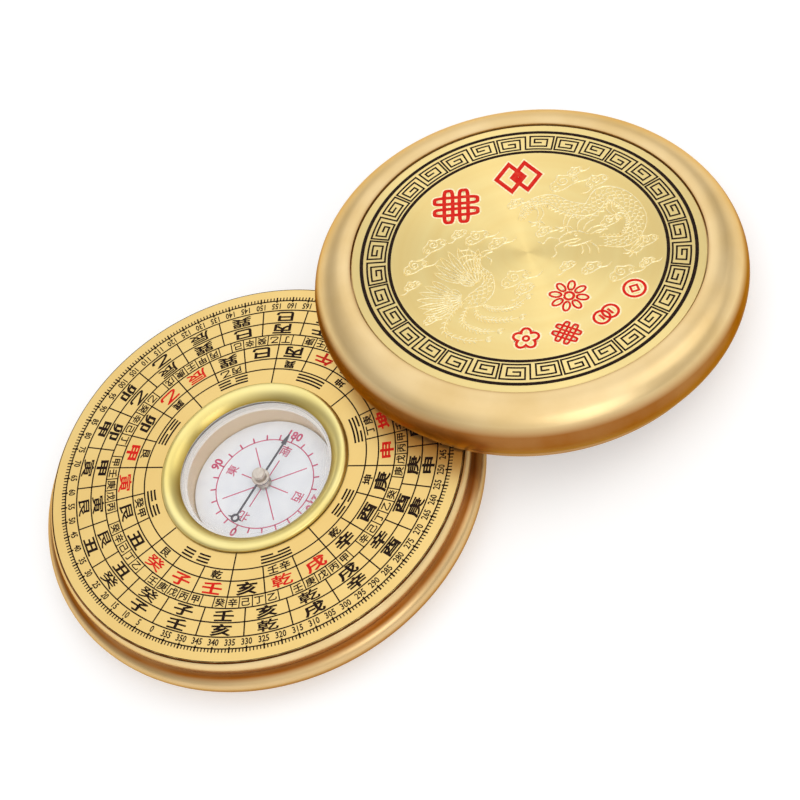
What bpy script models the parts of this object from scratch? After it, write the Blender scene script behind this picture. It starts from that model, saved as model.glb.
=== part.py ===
"""Feng shui compass: a turned brass case with a printed dial and a needle capsule, and its lid.

Metres, +Z up. The origin is the centre of the case's underside, and +Y points to the dial's
north mark. The lid lies taken off, one side of its rim on the dial and the other on the table.
"""

import math

import bmesh
import bpy
from mathutils import Matrix, Vector

# Clearance between touching pieces
GAP = 0.0003

# Facets round a large turned piece, round a small one, and along a quarter of an arc
TURN_STEPS = 64
SMALL_TURN_STEPS = 28
ARC_POINTS = 5

# Dial plate
PLATE_RADIUS = 0.0466
PLATE_THICKNESS = 0.0009
PLATE_EDGE = 0.0001

# Case, outside
LIP_WALL = 0.0007
LIP_THICKNESS = 0.0034
BEAD_STEP = 0.0024
BEAD_UNDER_ROUND = 0.0046
BEAD_UNDER_DEG = 50.0
BEAD_BELLY_SHARE = 0.70
BEAD_SHOULDER = 0.0030
GROOVE_DEPTH = 0.0014
FOOT_BEVEL = 0.0004

# Case, inside
CASE_FLOOR = 0.0031

# Capsule: a clear cup and its lens
CAPSULE_RADIUS = 0.0178
CUP_WALL = 0.0015
CUP_FLOOR = 0.0012
LENS_THICKNESS = 0.0010
CARD_THICKNESS = 0.0004

# Ring that holds the capsule in the dial plate
BEZEL_LAP = 0.0006
BEZEL_NECK_STEP = 0.0007
BEZEL_WIDTH = 0.0040
BEZEL_CROWN = 0.0022
BEZEL_HEIGHT = 0.0011
BEZEL_LIP = 0.0003
BEZEL_CROWN_DEG = 150.0

# Pivot
BOSS_RADIUS = 0.0017
BOSS_HEIGHT = 0.0009
PIN_RADIUS = 0.0003
PIN_TIP_RADIUS = 0.0001
PIN_CONE = 0.0006

# Needle hub, from its lower flange to its cap, and the jewel in it
HUB_FLANGE_RADIUS = 0.0016
HUB_FLANGE = 0.0005
HUB_STEM_RADIUS = 0.0012
COLLAR_RADIUS = 0.00205
COLLAR_HEIGHT = 0.0008
CAP_RADIUS = 0.0013
CAP_HEIGHT = 0.0010
HUB_EDGE = 0.0002
JEWEL_RADIUS = 0.00045
JEWEL_HEIGHT = 0.0006
NEEDLE_HEADROOM = 0.0004

# Needle blade
BLADE_THICKNESS = 0.0003
BLADE_WIDTH = 0.0005
EYE_WALL = 0.00045
SOUTH_LENGTH = 0.0120
ARROW_LENGTH = 0.0032
ARROW_WIDTH = 0.0013
ARROW_TIP_WIDTH = 0.0003
NORTH_LENGTH = 0.0108
RING_RADIUS = 0.0010
RING_HOLE_RADIUS = 0.00055
HORN_LENGTH = 0.0007
HORN_HALF_DEG = 14.0

# Lid
LID_PLATE_RADIUS = 0.0386
LID_PLATE_THICKNESS = 0.0009
LID_PLATE_SINK = 0.0004
LID_RIM_WIDTH = 0.0087
LID_SIDE_ROUND = 0.00735
LID_UNDER_DEG = 53.0
LID_SKIRT = 0.0012
LID_RIM_LAND = 0.0020
LID_WEB = 0.0019
LID_CORNER = 0.0015

# Where the lid lies: how far its rim reaches over the dial, and on which bearing
LID_OVERLAP = 0.0188
LID_BEARING_DEG = 207.3

# Heights of the stack in the case, from the table up
POCKET_FLOOR_Z = CASE_FLOOR
CUP_BOTTOM_Z = POCKET_FLOOR_Z + GAP
CARD_BOTTOM_Z = CUP_BOTTOM_Z + CUP_FLOOR + GAP
CARD_TOP_Z = CARD_BOTTOM_Z + CARD_THICKNESS
BOSS_BOTTOM_Z = CARD_TOP_Z + GAP
BOSS_TOP_Z = BOSS_BOTTOM_Z + BOSS_HEIGHT
HUB_BOTTOM_Z = BOSS_TOP_Z + GAP
BLADE_BOTTOM_Z = HUB_BOTTOM_Z + HUB_FLANGE + GAP
BLADE_TOP_Z = BLADE_BOTTOM_Z + BLADE_THICKNESS
COLLAR_BOTTOM_Z = BLADE_TOP_Z + GAP
COLLAR_TOP_Z = COLLAR_BOTTOM_Z + COLLAR_HEIGHT
CAP_TOP_Z = COLLAR_TOP_Z + CAP_HEIGHT
LENS_BOTTOM_Z = CAP_TOP_Z + NEEDLE_HEADROOM
LENS_TOP_Z = LENS_BOTTOM_Z + LENS_THICKNESS
PLATE_BOTTOM_Z = LENS_TOP_Z + GAP
DIAL_Z = PLATE_BOTTOM_Z + PLATE_THICKNESS

# Radii that follow
RECESS_RADIUS = PLATE_RADIUS + GAP
LIP_RADIUS = RECESS_RADIUS + LIP_WALL
CASE_RADIUS = LIP_RADIUS + BEAD_STEP
CUP_INNER_RADIUS = CAPSULE_RADIUS - CUP_WALL
POCKET_RADIUS = CAPSULE_RADIUS + GAP
WINDOW_RADIUS = CAPSULE_RADIUS - BEZEL_LAP
BEZEL_NECK_RADIUS = CAPSULE_RADIUS + BEZEL_NECK_STEP
PLATE_HOLE_RADIUS = BEZEL_NECK_RADIUS + GAP
HUB_BORE_RADIUS = JEWEL_RADIUS + GAP
EYE_HOLE_RADIUS = HUB_STEM_RADIUS + GAP
EYE_RADIUS = EYE_HOLE_RADIUS + EYE_WALL
JEWEL_BOTTOM_Z = BLADE_TOP_Z
JEWEL_TOP_Z = JEWEL_BOTTOM_Z + JEWEL_HEIGHT
PIN_TIP_Z = JEWEL_BOTTOM_Z - GAP

# Lid sizes that follow, in the lid's own frame, with its rim at z = 0
LID_RECESS_RADIUS = LID_PLATE_RADIUS + GAP
LID_RADIUS = LID_RECESS_RADIUS + LID_RIM_WIDTH
LID_ROUND_CENTRE_R = LID_RADIUS - LID_SIDE_ROUND
LID_ROUND_CENTRE_Z = LID_SKIRT + LID_SIDE_ROUND * math.sin(math.radians(LID_UNDER_DEG))
LID_RIM_RADIUS = LID_ROUND_CENTRE_R + LID_SIDE_ROUND * math.cos(math.radians(LID_UNDER_DEG))
LID_MOUTH_RADIUS = LID_RIM_RADIUS - LID_RIM_LAND
LID_INNER_EDGE_COS = (LID_RECESS_RADIUS - LID_ROUND_CENTRE_R) / LID_SIDE_ROUND
LID_INNER_EDGE_Z = LID_ROUND_CENTRE_Z + LID_SIDE_ROUND * math.sqrt(1.0 - LID_INNER_EDGE_COS ** 2)
LID_PLATE_TOP_Z = LID_INNER_EDGE_Z - LID_PLATE_SINK
LID_PLATE_BOTTOM_Z = LID_PLATE_TOP_Z - LID_PLATE_THICKNESS
LID_RECESS_Z = LID_PLATE_BOTTOM_Z - GAP
LID_CEILING_Z = LID_RECESS_Z - LID_WEB


def remove_everything():
    """Empty the scene, so the script can be run again."""
    for obj in list(bpy.data.objects):
        bpy.data.objects.remove(obj, do_unlink=True)


def make_material(name, colour, roughness, metallic, alpha=1.0):
    """Return a Principled material with one colour, roughness and metallic value."""
    material = bpy.data.materials.new(name)
    material.use_nodes = True
    shader = material.node_tree.nodes["Principled BSDF"]
    shader.inputs["Base Color"].default_value = (*colour, 1.0)
    shader.inputs["Roughness"].default_value = roughness
    shader.inputs["Metallic"].default_value = metallic
    shader.inputs["Alpha"].default_value = alpha
    return material


def arc(centre, radii, start_deg, end_deg, count):
    """Return points on an ellipse's arc, with both ends, as (radius, height) pairs."""
    step = math.radians(end_deg - start_deg) / (count - 1)
    angles = [math.radians(start_deg) + step * index for index in range(count)]
    return [(centre[0] + radii[0] * math.cos(a), centre[1] + radii[1] * math.sin(a)) for a in angles]


def cove(start, start_handle, end_handle, end, count):
    """Return the inner points of a cubic curve between two points, without its ends."""
    points = []
    for index in range(1, count + 1):
        t = index / (count + 1)
        weights = ((1 - t) ** 3, 3 * t * (1 - t) ** 2, 3 * t * t * (1 - t), t ** 3)
        pairs = (start, start_handle, end_handle, end)
        points.append(tuple(sum(w * p[axis] for w, p in zip(weights, pairs)) for axis in (0, 1)))
    return points


def link_object(name, mesh, material, parent):
    """Put a mesh into the scene under its node's name."""
    mesh.materials.append(material)
    obj = bpy.data.objects.new(name, mesh)
    obj.parent = parent
    bpy.context.scene.collection.objects.link(obj)
    return obj


def turned(name, profile, material, parent=None, ring=False, steps=TURN_STEPS):
    """Turn a (radius, height) profile about +Z. It runs down the piece's outer side."""
    mesh = bpy.data.meshes.new(name)
    edges = [(index, index + 1) for index in range(len(profile) - 1)]
    if ring:
        edges.append((len(profile) - 1, 0))
    mesh.from_pydata([(radius, 0.0, height) for radius, height in profile], edges, [])
    obj = link_object(name, mesh, material, parent)
    screw = obj.modifiers.new("Turn", "SCREW")
    screw.axis = "Z"
    screw.angle = math.tau
    screw.steps = steps
    screw.render_steps = steps
    screw.use_merge_vertices = True
    screw.merge_threshold = GAP / 100
    screw.use_smooth_shade = True
    return obj


def base_case(material):
    """Turned case: a rounded lip, a groove and a larger bead, with pockets for dial and capsule."""
    lip_round = LIP_THICKNESS / 2
    lip_centre = (LIP_RADIUS - lip_round, DIAL_Z - lip_round)
    inner_edge_deg = math.degrees(math.acos((RECESS_RADIUS - lip_centre[0]) / lip_round))
    lip = arc(lip_centre, (lip_round, lip_round), inner_edge_deg, -60.0, ARC_POINTS)
    belly_z = BEAD_BELLY_SHARE * (DIAL_Z - LIP_THICKNESS)
    shoulder_z = DIAL_Z - LIP_THICKNESS - belly_z
    shoulder_centre = (CASE_RADIUS - BEAD_SHOULDER, belly_z)
    shoulder = arc(shoulder_centre, (BEAD_SHOULDER, shoulder_z), 80.0, 0.0, ARC_POINTS)
    root = LIP_RADIUS - GROOVE_DEPTH
    groove = cove(lip[-1], (root, lip[-1][1]), (root, shoulder[0][1]), shoulder[0], ARC_POINTS - 2)
    under_centre = (CASE_RADIUS - BEAD_UNDER_ROUND, belly_z)
    under_radii = (BEAD_UNDER_ROUND, BEAD_UNDER_ROUND)
    under = arc(under_centre, under_radii, 0.0, -BEAD_UNDER_DEG, ARC_POINTS)[1:]
    slope = math.tan(math.radians(BEAD_UNDER_DEG))
    foot_radius = under[-1][0] - (under[-1][1] - FOOT_BEVEL) * slope
    profile = [(0.0, POCKET_FLOOR_Z), (POCKET_RADIUS, POCKET_FLOOR_Z)]
    profile += [(POCKET_RADIUS, LENS_TOP_Z), (RECESS_RADIUS, LENS_TOP_Z)]
    profile += lip + groove + shoulder + under
    profile += [(foot_radius, FOOT_BEVEL), (foot_radius - FOOT_BEVEL, 0.0), (0.0, 0.0)]
    return turned("base_case", profile, material)


def dial_plate(material):
    """Flat printed ring in the case's recess, with a broken outer edge."""
    profile = [(PLATE_HOLE_RADIUS, DIAL_Z), (PLATE_RADIUS - PLATE_EDGE, DIAL_Z)]
    profile += [(PLATE_RADIUS, DIAL_Z - PLATE_EDGE), (PLATE_RADIUS, PLATE_BOTTOM_Z)]
    profile += [(PLATE_HOLE_RADIUS, PLATE_BOTTOM_Z)]
    return turned("dial_plate", profile, material, ring=True)


def capsule_bezel(material):
    """Ring with a low round crown over the dial plate and a slope down to the lens."""
    outer = WINDOW_RADIUS + BEZEL_WIDTH
    foot_z = DIAL_Z + GAP
    half = BEZEL_CROWN / 2
    crown_radii = (half, BEZEL_HEIGHT - GAP)
    crown = arc((outer - half, foot_z), crown_radii, BEZEL_CROWN_DEG, 0.0, 2 * ARC_POINTS - 2)
    profile = [(WINDOW_RADIUS, PLATE_BOTTOM_Z + BEZEL_LIP)] + crown
    profile += [(BEZEL_NECK_RADIUS, foot_z), (BEZEL_NECK_RADIUS, PLATE_BOTTOM_Z)]
    profile += [(WINDOW_RADIUS, PLATE_BOTTOM_Z)]
    return turned("capsule_bezel", profile, material, ring=True)


def capsule_lens(material):
    """Clear window that closes the capsule."""
    profile = [(0.0, LENS_TOP_Z), (CAPSULE_RADIUS, LENS_TOP_Z)]
    profile += [(CAPSULE_RADIUS, LENS_BOTTOM_Z), (0.0, LENS_BOTTOM_Z)]
    return turned("capsule_lens", profile, material)


def capsule_cup(material):
    """Clear cup round the needle: a floor and one wall, open at the top."""
    rim_z = LENS_BOTTOM_Z - GAP
    floor_z = CUP_BOTTOM_Z + CUP_FLOOR
    profile = [(0.0, floor_z), (CUP_INNER_RADIUS, floor_z), (CUP_INNER_RADIUS, rim_z)]
    profile += [(CAPSULE_RADIUS, rim_z), (CAPSULE_RADIUS, CUP_BOTTOM_Z), (0.0, CUP_BOTTOM_Z)]
    return turned("capsule_cup", profile, material)


def compass_card(material):
    """Printed disc on the cup's floor."""
    radius = CUP_INNER_RADIUS - GAP
    profile = [(0.0, CARD_TOP_Z), (radius, CARD_TOP_Z)]
    profile += [(radius, CARD_BOTTOM_Z), (0.0, CARD_BOTTOM_Z)]
    return turned("compass_card", profile, material)


def pivot_boss(material):
    """Round foot that holds the pivot pin upright on the card."""
    hole = PIN_RADIUS + GAP
    profile = [(hole, BOSS_TOP_Z), (BOSS_RADIUS - HUB_EDGE, BOSS_TOP_Z)]
    profile += [(BOSS_RADIUS, BOSS_TOP_Z - HUB_EDGE), (BOSS_RADIUS, BOSS_BOTTOM_Z)]
    profile += [(hole, BOSS_BOTTOM_Z)]
    return turned("pivot_boss", profile, material, ring=True, steps=SMALL_TURN_STEPS)


def pivot_pin(material):
    """Steel pin with a cone point, just under the jewel."""
    profile = [(0.0, PIN_TIP_Z), (PIN_TIP_RADIUS, PIN_TIP_Z)]
    profile += [(PIN_RADIUS, PIN_TIP_Z - PIN_CONE), (PIN_RADIUS, BOSS_BOTTOM_Z)]
    profile += [(0.0, BOSS_BOTTOM_Z)]
    return turned("pivot_pin", profile, material, steps=SMALL_TURN_STEPS // 2)


def needle_hub(material):
    """Turned hub: flange, stem through the blade, collar and cap, bored from below."""
    bore_top = JEWEL_TOP_Z + GAP
    flange_top = HUB_BOTTOM_Z + HUB_FLANGE
    profile = [(0.0, CAP_TOP_Z), (CAP_RADIUS - HUB_EDGE, CAP_TOP_Z)]
    profile += [(CAP_RADIUS, CAP_TOP_Z - HUB_EDGE), (CAP_RADIUS, COLLAR_TOP_Z)]
    profile += [(COLLAR_RADIUS - HUB_EDGE, COLLAR_TOP_Z), (COLLAR_RADIUS, COLLAR_TOP_Z - HUB_EDGE)]
    profile += [(COLLAR_RADIUS, COLLAR_BOTTOM_Z), (HUB_STEM_RADIUS, COLLAR_BOTTOM_Z)]
    profile += [(HUB_STEM_RADIUS, flange_top), (HUB_FLANGE_RADIUS, flange_top)]
    profile += [(HUB_FLANGE_RADIUS, HUB_BOTTOM_Z), (HUB_BORE_RADIUS, HUB_BOTTOM_Z)]
    profile += [(HUB_BORE_RADIUS, bore_top), (0.0, bore_top)]
    return turned("needle_hub", profile, material, steps=SMALL_TURN_STEPS)


def needle_jewel(material):
    """Small hard bearing in the hub's bore, which the pin's point carries."""
    profile = [(0.0, JEWEL_TOP_Z), (JEWEL_RADIUS, JEWEL_TOP_Z)]
    profile += [(JEWEL_RADIUS, JEWEL_BOTTOM_Z), (0.0, JEWEL_BOTTOM_Z)]
    return turned("needle_jewel", profile, material, steps=SMALL_TURN_STEPS // 2)


def circle(centre_y, radius, count):
    """Return points round a circle on the needle's centre line."""
    angles = [math.tau * index / count for index in range(count)]
    return [(radius * math.cos(a), centre_y + radius * math.sin(a)) for a in angles]


def blade_side():
    """Return the blade's outline on its east side, from the south tip to the north ring."""
    half = BLADE_WIDTH / 2
    arrow_y = -(SOUTH_LENGTH - ARROW_LENGTH)
    eye_deg = math.degrees(math.acos(half / EYE_RADIUS))
    ring_deg = math.degrees(math.acos(half / RING_RADIUS))
    ring_centre = (0.0, NORTH_LENGTH)
    ring_radii = (RING_RADIUS, RING_RADIUS)
    points = [(ARROW_TIP_WIDTH / 2, -SOUTH_LENGTH), (ARROW_WIDTH / 2, arrow_y), (half, arrow_y)]
    points += arc((0.0, 0.0), (EYE_RADIUS, EYE_RADIUS), -eye_deg, eye_deg, 2 * ARC_POINTS)
    points += arc(ring_centre, ring_radii, -ring_deg, -HORN_HALF_DEG, ARC_POINTS - 1)
    points += [(RING_RADIUS + HORN_LENGTH, NORTH_LENGTH)]
    points += arc(ring_centre, ring_radii, HORN_HALF_DEG, 90.0, ARC_POINTS)
    return points


def needle_blade(material):
    """Flat steel blade: an arrow to the south, an eye round the hub and a horned ring north."""
    east = blade_side()
    west = [(-x, y) for x, y in reversed(east[:-1])]
    loops = [east + west, circle(0.0, EYE_HOLE_RADIUS, SMALL_TURN_STEPS)]
    loops.append(circle(NORTH_LENGTH, RING_HOLE_RADIUS, SMALL_TURN_STEPS // 2))
    shape = bmesh.new()
    edges = []
    for loop in loops:
        verts = [shape.verts.new((x, y, BLADE_BOTTOM_Z)) for x, y in loop]
        edges += [shape.edges.new((verts[i - 1], verts[i])) for i in range(len(verts))]
    bmesh.ops.triangle_fill(shape, edges=edges, use_beauty=True, normal=(0.0, 0.0, 1.0))
    raised = bmesh.ops.extrude_face_region(shape, geom=list(shape.faces))["geom"]
    top = [item for item in raised if isinstance(item, bmesh.types.BMVert)]
    bmesh.ops.translate(shape, verts=top, vec=Vector((0.0, 0.0, BLADE_THICKNESS)))
    bmesh.ops.recalc_face_normals(shape, faces=list(shape.faces))
    mesh = bpy.data.meshes.new("needle_blade")
    shape.to_mesh(mesh)
    shape.free()
    return link_object("needle_blade", mesh, material, None)


def lid_lie():
    """Return the lid's reach from the case's axis, the height of its rim's centre and its lean.

    The rim's outer edge is one gap above the table on the far side. Near the case, the rim's
    inner edge passes one gap above the dial where it crosses the edge of the dial's recess.
    """
    reach = PLATE_RADIUS + LID_RIM_RADIUS - LID_OVERLAP
    lean = 0.0
    for _ in range(12):
        across = LID_MOUTH_RADIUS * math.cos(lean)
        a = across ** 2 - LID_MOUTH_RADIUS ** 2
        b = 2 * reach * across
        c = reach ** 2 + LID_MOUTH_RADIUS ** 2 - RECESS_RADIUS ** 2
        cosine = -2 * c / (b + math.sqrt(b * b - 4 * a * c))
        lean = math.asin(DIAL_Z / (LID_RIM_RADIUS - cosine * LID_MOUTH_RADIUS))
    return reach, GAP + LID_RIM_RADIUS * math.sin(lean), lean


def lid_frame():
    """Return the empty at the centre of the lid's rim, which leans away from the case."""
    reach, height, lean = lid_lie()
    bearing = math.radians(LID_BEARING_DEG)
    outward = Vector((math.sin(bearing), math.cos(bearing), 0.0))
    empty = bpy.data.objects.new("lid_frame", None)
    axis = Vector((0.0, 0.0, 1.0)).cross(outward)
    place = Matrix.Translation(outward * reach + Vector((0.0, 0.0, height)))
    empty.matrix_world = place @ Matrix.Rotation(lean, 4, axis)
    bpy.context.scene.collection.objects.link(empty)
    return empty


def lid_shell(material, frame):
    """Turned lid with a broad round rim, a recess on top and a hollow underneath."""
    centre = (LID_ROUND_CENTRE_R, LID_ROUND_CENTRE_Z)
    inner_deg = math.degrees(math.acos(LID_INNER_EDGE_COS))
    radii = (LID_SIDE_ROUND, LID_SIDE_ROUND)
    side = arc(centre, radii, inner_deg, -LID_UNDER_DEG, 3 * ARC_POINTS)
    corner_centre = (LID_MOUTH_RADIUS - LID_CORNER, LID_CEILING_Z - LID_CORNER)
    corner = arc(corner_centre, (LID_CORNER, LID_CORNER), 0.0, 90.0, ARC_POINTS - 1)
    profile = [(0.0, LID_RECESS_Z), (LID_RECESS_RADIUS, LID_RECESS_Z)] + side
    profile += [(LID_RIM_RADIUS, 0.0), (LID_MOUTH_RADIUS, 0.0)] + corner + [(0.0, LID_CEILING_Z)]
    return turned("lid_shell", profile, material, frame)


def lid_plate(material, frame):
    """Printed disc in the lid's recess."""
    profile = [(0.0, LID_PLATE_TOP_Z), (LID_PLATE_RADIUS - PLATE_EDGE, LID_PLATE_TOP_Z)]
    profile += [(LID_PLATE_RADIUS, LID_PLATE_TOP_Z - PLATE_EDGE)]
    profile += [(LID_PLATE_RADIUS, LID_PLATE_BOTTOM_Z), (0.0, LID_PLATE_BOTTOM_Z)]
    return turned("lid_plate", profile, material, frame)


def main():
    """Build every piece of the compass."""
    remove_everything()
    satin_brass = make_material("satin_brass", (0.67, 0.47, 0.21), 0.32, 1.0)
    gilt_plate = make_material("gilt_plate", (0.83, 0.64, 0.27), 0.35, 1.0)
    bezel_gilt = make_material("bezel_gilt", (0.66, 0.55, 0.14), 0.22, 1.0)
    clear_acrylic = make_material("clear_acrylic", (0.95, 0.95, 0.95), 0.05, 0.0, 0.25)
    white_card = make_material("white_card", (0.87, 0.87, 0.89), 0.6, 0.0)
    nickel = make_material("nickel", (0.66, 0.61, 0.55), 0.3, 1.0)
    pin_steel = make_material("pin_steel", (0.6, 0.6, 0.6), 0.2, 1.0)
    blade_steel = make_material("blade_steel", (0.11, 0.10, 0.12), 0.35, 1.0)
    jewel_glass = make_material("jewel_glass", (0.72, 0.35, 0.38), 0.1, 0.0)
    base_case(satin_brass)
    dial_plate(gilt_plate)
    capsule_bezel(bezel_gilt)
    capsule_lens(clear_acrylic)
    capsule_cup(clear_acrylic)
    compass_card(white_card)
    pivot_boss(nickel)
    pivot_pin(pin_steel)
    needle_hub(nickel)
    needle_jewel(jewel_glass)
    needle_blade(blade_steel)
    frame = lid_frame()
    lid_shell(satin_brass, frame)
    lid_plate(gilt_plate, frame)


main()
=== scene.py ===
"""Brass pocket luopan with its lid off: the looks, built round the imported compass.

The case and lid are turned brass, the dial and the lid's disc are gilt plates with fired
enamel, and the needle swings over a white card in a clear capsule. Sizes are in millimetres
until a mesh is written. Bearings are in degrees, clockwise from the dial's north mark.
"""

import logging
import math
from dataclasses import dataclass, field
from enum import Enum
from functools import lru_cache
from typing import Any, Sequence

import bmesh
import bpy
import numpy as np
from mathutils import Euler, Matrix, Vector


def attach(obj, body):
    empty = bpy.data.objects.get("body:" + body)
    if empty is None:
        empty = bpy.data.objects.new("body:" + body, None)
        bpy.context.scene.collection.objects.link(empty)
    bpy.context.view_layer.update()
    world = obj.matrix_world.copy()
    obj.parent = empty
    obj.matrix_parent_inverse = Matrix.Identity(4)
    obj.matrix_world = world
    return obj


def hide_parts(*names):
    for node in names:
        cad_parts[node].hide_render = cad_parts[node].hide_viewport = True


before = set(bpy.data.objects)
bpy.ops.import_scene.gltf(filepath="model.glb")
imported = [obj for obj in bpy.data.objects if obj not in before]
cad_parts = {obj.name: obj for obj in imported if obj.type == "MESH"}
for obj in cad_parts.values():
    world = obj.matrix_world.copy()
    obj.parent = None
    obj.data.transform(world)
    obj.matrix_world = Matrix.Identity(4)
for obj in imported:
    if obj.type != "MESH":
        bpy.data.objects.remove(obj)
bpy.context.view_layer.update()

MM = 0.001
TAU = 2.0 * math.pi
INK_RAISE = 0.03
INK_SINK = 0.01
ACRYLIC_IOR = 1.49
LOG = logging.getLogger("luopan")
Material = bpy.types.Material
Socket = bpy.types.NodeSocket


def linear(code: str) -> tuple[float, float, float, float]:
    """Turn an sRGB hex colour into the linear values that a shader reads.

    Args:
        code: Six hex digits, such as "EFD585".

    Returns:
        Red, green, blue and an alpha of one.
    """
    shares = [int(code[start:start + 2], 16) / 255 for start in (0, 2, 4)]
    values = [s / 12.92 if s <= 0.04045 else ((s + 0.055) / 1.055) ** 2.4 for s in shares]
    return (values[0], values[1], values[2], 1.0)


class Nodes:
    """A node tree in the making, with a short call for each kind of node that it uses."""

    def __init__(self, owner: Material | bpy.types.World, end: str) -> None:
        """Empty the owner's tree and add its output.

        Args:
            owner: The material or the world that holds the tree.
            end: The kind of its output node.
        """
        owner.use_nodes = True
        self.owner = owner
        self.tree = owner.node_tree
        self.tree.nodes.clear()
        self.end = self.add(end)

    def add(self, kind: str, inputs: dict[Any, Any] | None = None, **settings: Any) -> bpy.types.Node:
        """Add one node.

        Args:
            kind: Its type name, without the "ShaderNode" in front.
            inputs: For each socket's name or number, a value or a socket to link from.
            settings: Values for the node's own properties.

        Returns:
            The new node.
        """
        node = self.tree.nodes.new("ShaderNode" + kind)
        for name, value in settings.items():
            setattr(node, name, value)
        for key, value in (inputs or {}).items():
            if isinstance(value, Socket):
                self.tree.links.new(value, node.inputs[key])
            else:
                node.inputs[key].default_value = value
        return node

    def place(self) -> Socket:
        """Return the object coordinates."""
        return self.add("TexCoord").outputs["Object"]

    def note(self, name: str, output: str) -> Socket:
        """Return one output of a mesh attribute: "Vector", or "Fac" for a single number."""
        return self.add("Attribute", attribute_name=name).outputs[output]

    def noise(self, where: Socket, scale: float, detail: float) -> Socket:
        """Return a cloudy noise from 0 to 1, of so many lumps a unit and so many finer layers."""
        return self.add("TexNoise", {"Vector": where, "Scale": scale, "Detail": detail}).outputs["Fac"]

    def grain(self, where: Socket, scales: Sequence[float], detail: float) -> Socket:
        """Return a noise of its own scale along each of the three axes."""
        return self.noise(self.add("Mapping", {0: where, "Scale": scales}).outputs[0], 1.0, detail)

    def math(self, operation: str, *values: Any, clamp: bool = False) -> Socket:
        """Return the result of a sum on two or three values or sockets."""
        return self.add("Math", dict(enumerate(values)), operation=operation, use_clamp=clamp).outputs[0]

    def span(
        self, value: Socket, low: float, high: float, start: float = 0.0, end: float = 1.0
    ) -> Socket:
        """Return what runs from low to high while a value runs from start to end."""
        return self.add("MapRange", {0: value, 1: start, 2: end, 3: low, 4: high}).outputs[0]

    def tone(self, value: Socket, stops: Sequence[tuple[float, str]]) -> Socket:
        """Lay a colour ramp on a value.

        Args:
            value: The value.
            stops: The ramp's places and sRGB hex colours.

        Returns:
            The colour.
        """
        node = self.add("ValToRGB", {"Fac": value})
        for place, _ in stops[2:]:
            node.color_ramp.elements.new(place)
        for element, (place, code) in zip(node.color_ramp.elements, stops):
            element.position = place
            element.color = linear(code)
        return node.outputs["Color"]

    def mix(self, share: Socket, colour: Socket, code: str) -> Socket:
        """Return a colour with a share of an sRGB hex colour mixed in."""
        return self.add("Mix", {0: share, 6: colour, 7: linear(code)}, data_type="RGBA").outputs[2]

    def surface(self, inputs: dict[str, Any]) -> Socket:
        """Return a principled shader."""
        return self.add("BsdfPrincipled", inputs).outputs[0]

    def done(self, shader: Socket) -> Any:
        """Link a shader to the output and return the tree's owner."""
        self.tree.links.new(shader, self.end.inputs[0])
        return self.owner

    def metal(self, colour: Socket, roughness: Any, more: dict[str, Any] | None = None) -> Material:
        """Return the material as a metal of a colour and a roughness, with any more inputs."""
        inputs = {"Base Color": colour, "Metallic": 1.0, "Roughness": roughness}
        return self.done(self.surface(inputs | (more or {})))


def new_finish(name: str) -> Nodes:
    """Return the empty tree of a new material."""
    return Nodes(bpy.data.materials.new(name), "OutputMaterial")


@dataclass
class Shape:
    """A body before it becomes a mesh: points in millimetres, faces, loop UVs and attributes."""

    points: np.ndarray
    faces: list[np.ndarray]
    uvs: list[np.ndarray] = field(default_factory=list)
    notes: dict[str, np.ndarray] = field(default_factory=dict)


class Stock:
    """Collects many small closed bodies, such as strokes and glyphs, into one mesh."""

    def __init__(self) -> None:
        """Start with nothing."""
        self.points: list[np.ndarray] = []
        self.faces: list[np.ndarray] = []
        self.count = 0

    def add(self, points: np.ndarray, faces: Sequence[np.ndarray]) -> None:
        """Take in one body.

        Args:
            points: Its points, one row each.
            faces: Its faces, one array for each number of corners.
        """
        self.points.append(points)
        self.faces += [part + self.count for part in faces]
        self.count += len(points)

    def shape(self) -> Shape:
        """Return all that was collected as one shape."""
        return Shape(np.concatenate(self.points), self.faces)


def grid_faces(rows: int, cols: int, wrap_rows: bool, wrap_cols: bool) -> np.ndarray:
    """Join a grid of points with quads; point (i, j) is number i * cols + j.

    Args:
        rows: How many rows of points.
        cols: How many points in a row.
        wrap_rows: Whether the last row joins the first.
        wrap_cols: Whether each row closes on itself.

    Returns:
        One row of four point numbers for each quad.
    """
    i = np.arange(rows if wrap_rows else rows - 1)[:, None]
    j = np.arange(cols if wrap_cols else cols - 1)[None, :]
    i_next, j_next = (i + 1) % rows, (j + 1) % cols
    corners = (i * cols + j, i * cols + j_next, i_next * cols + j_next, i_next * cols + j)
    return np.stack(corners, axis=-1).reshape(-1, 4)


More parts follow.
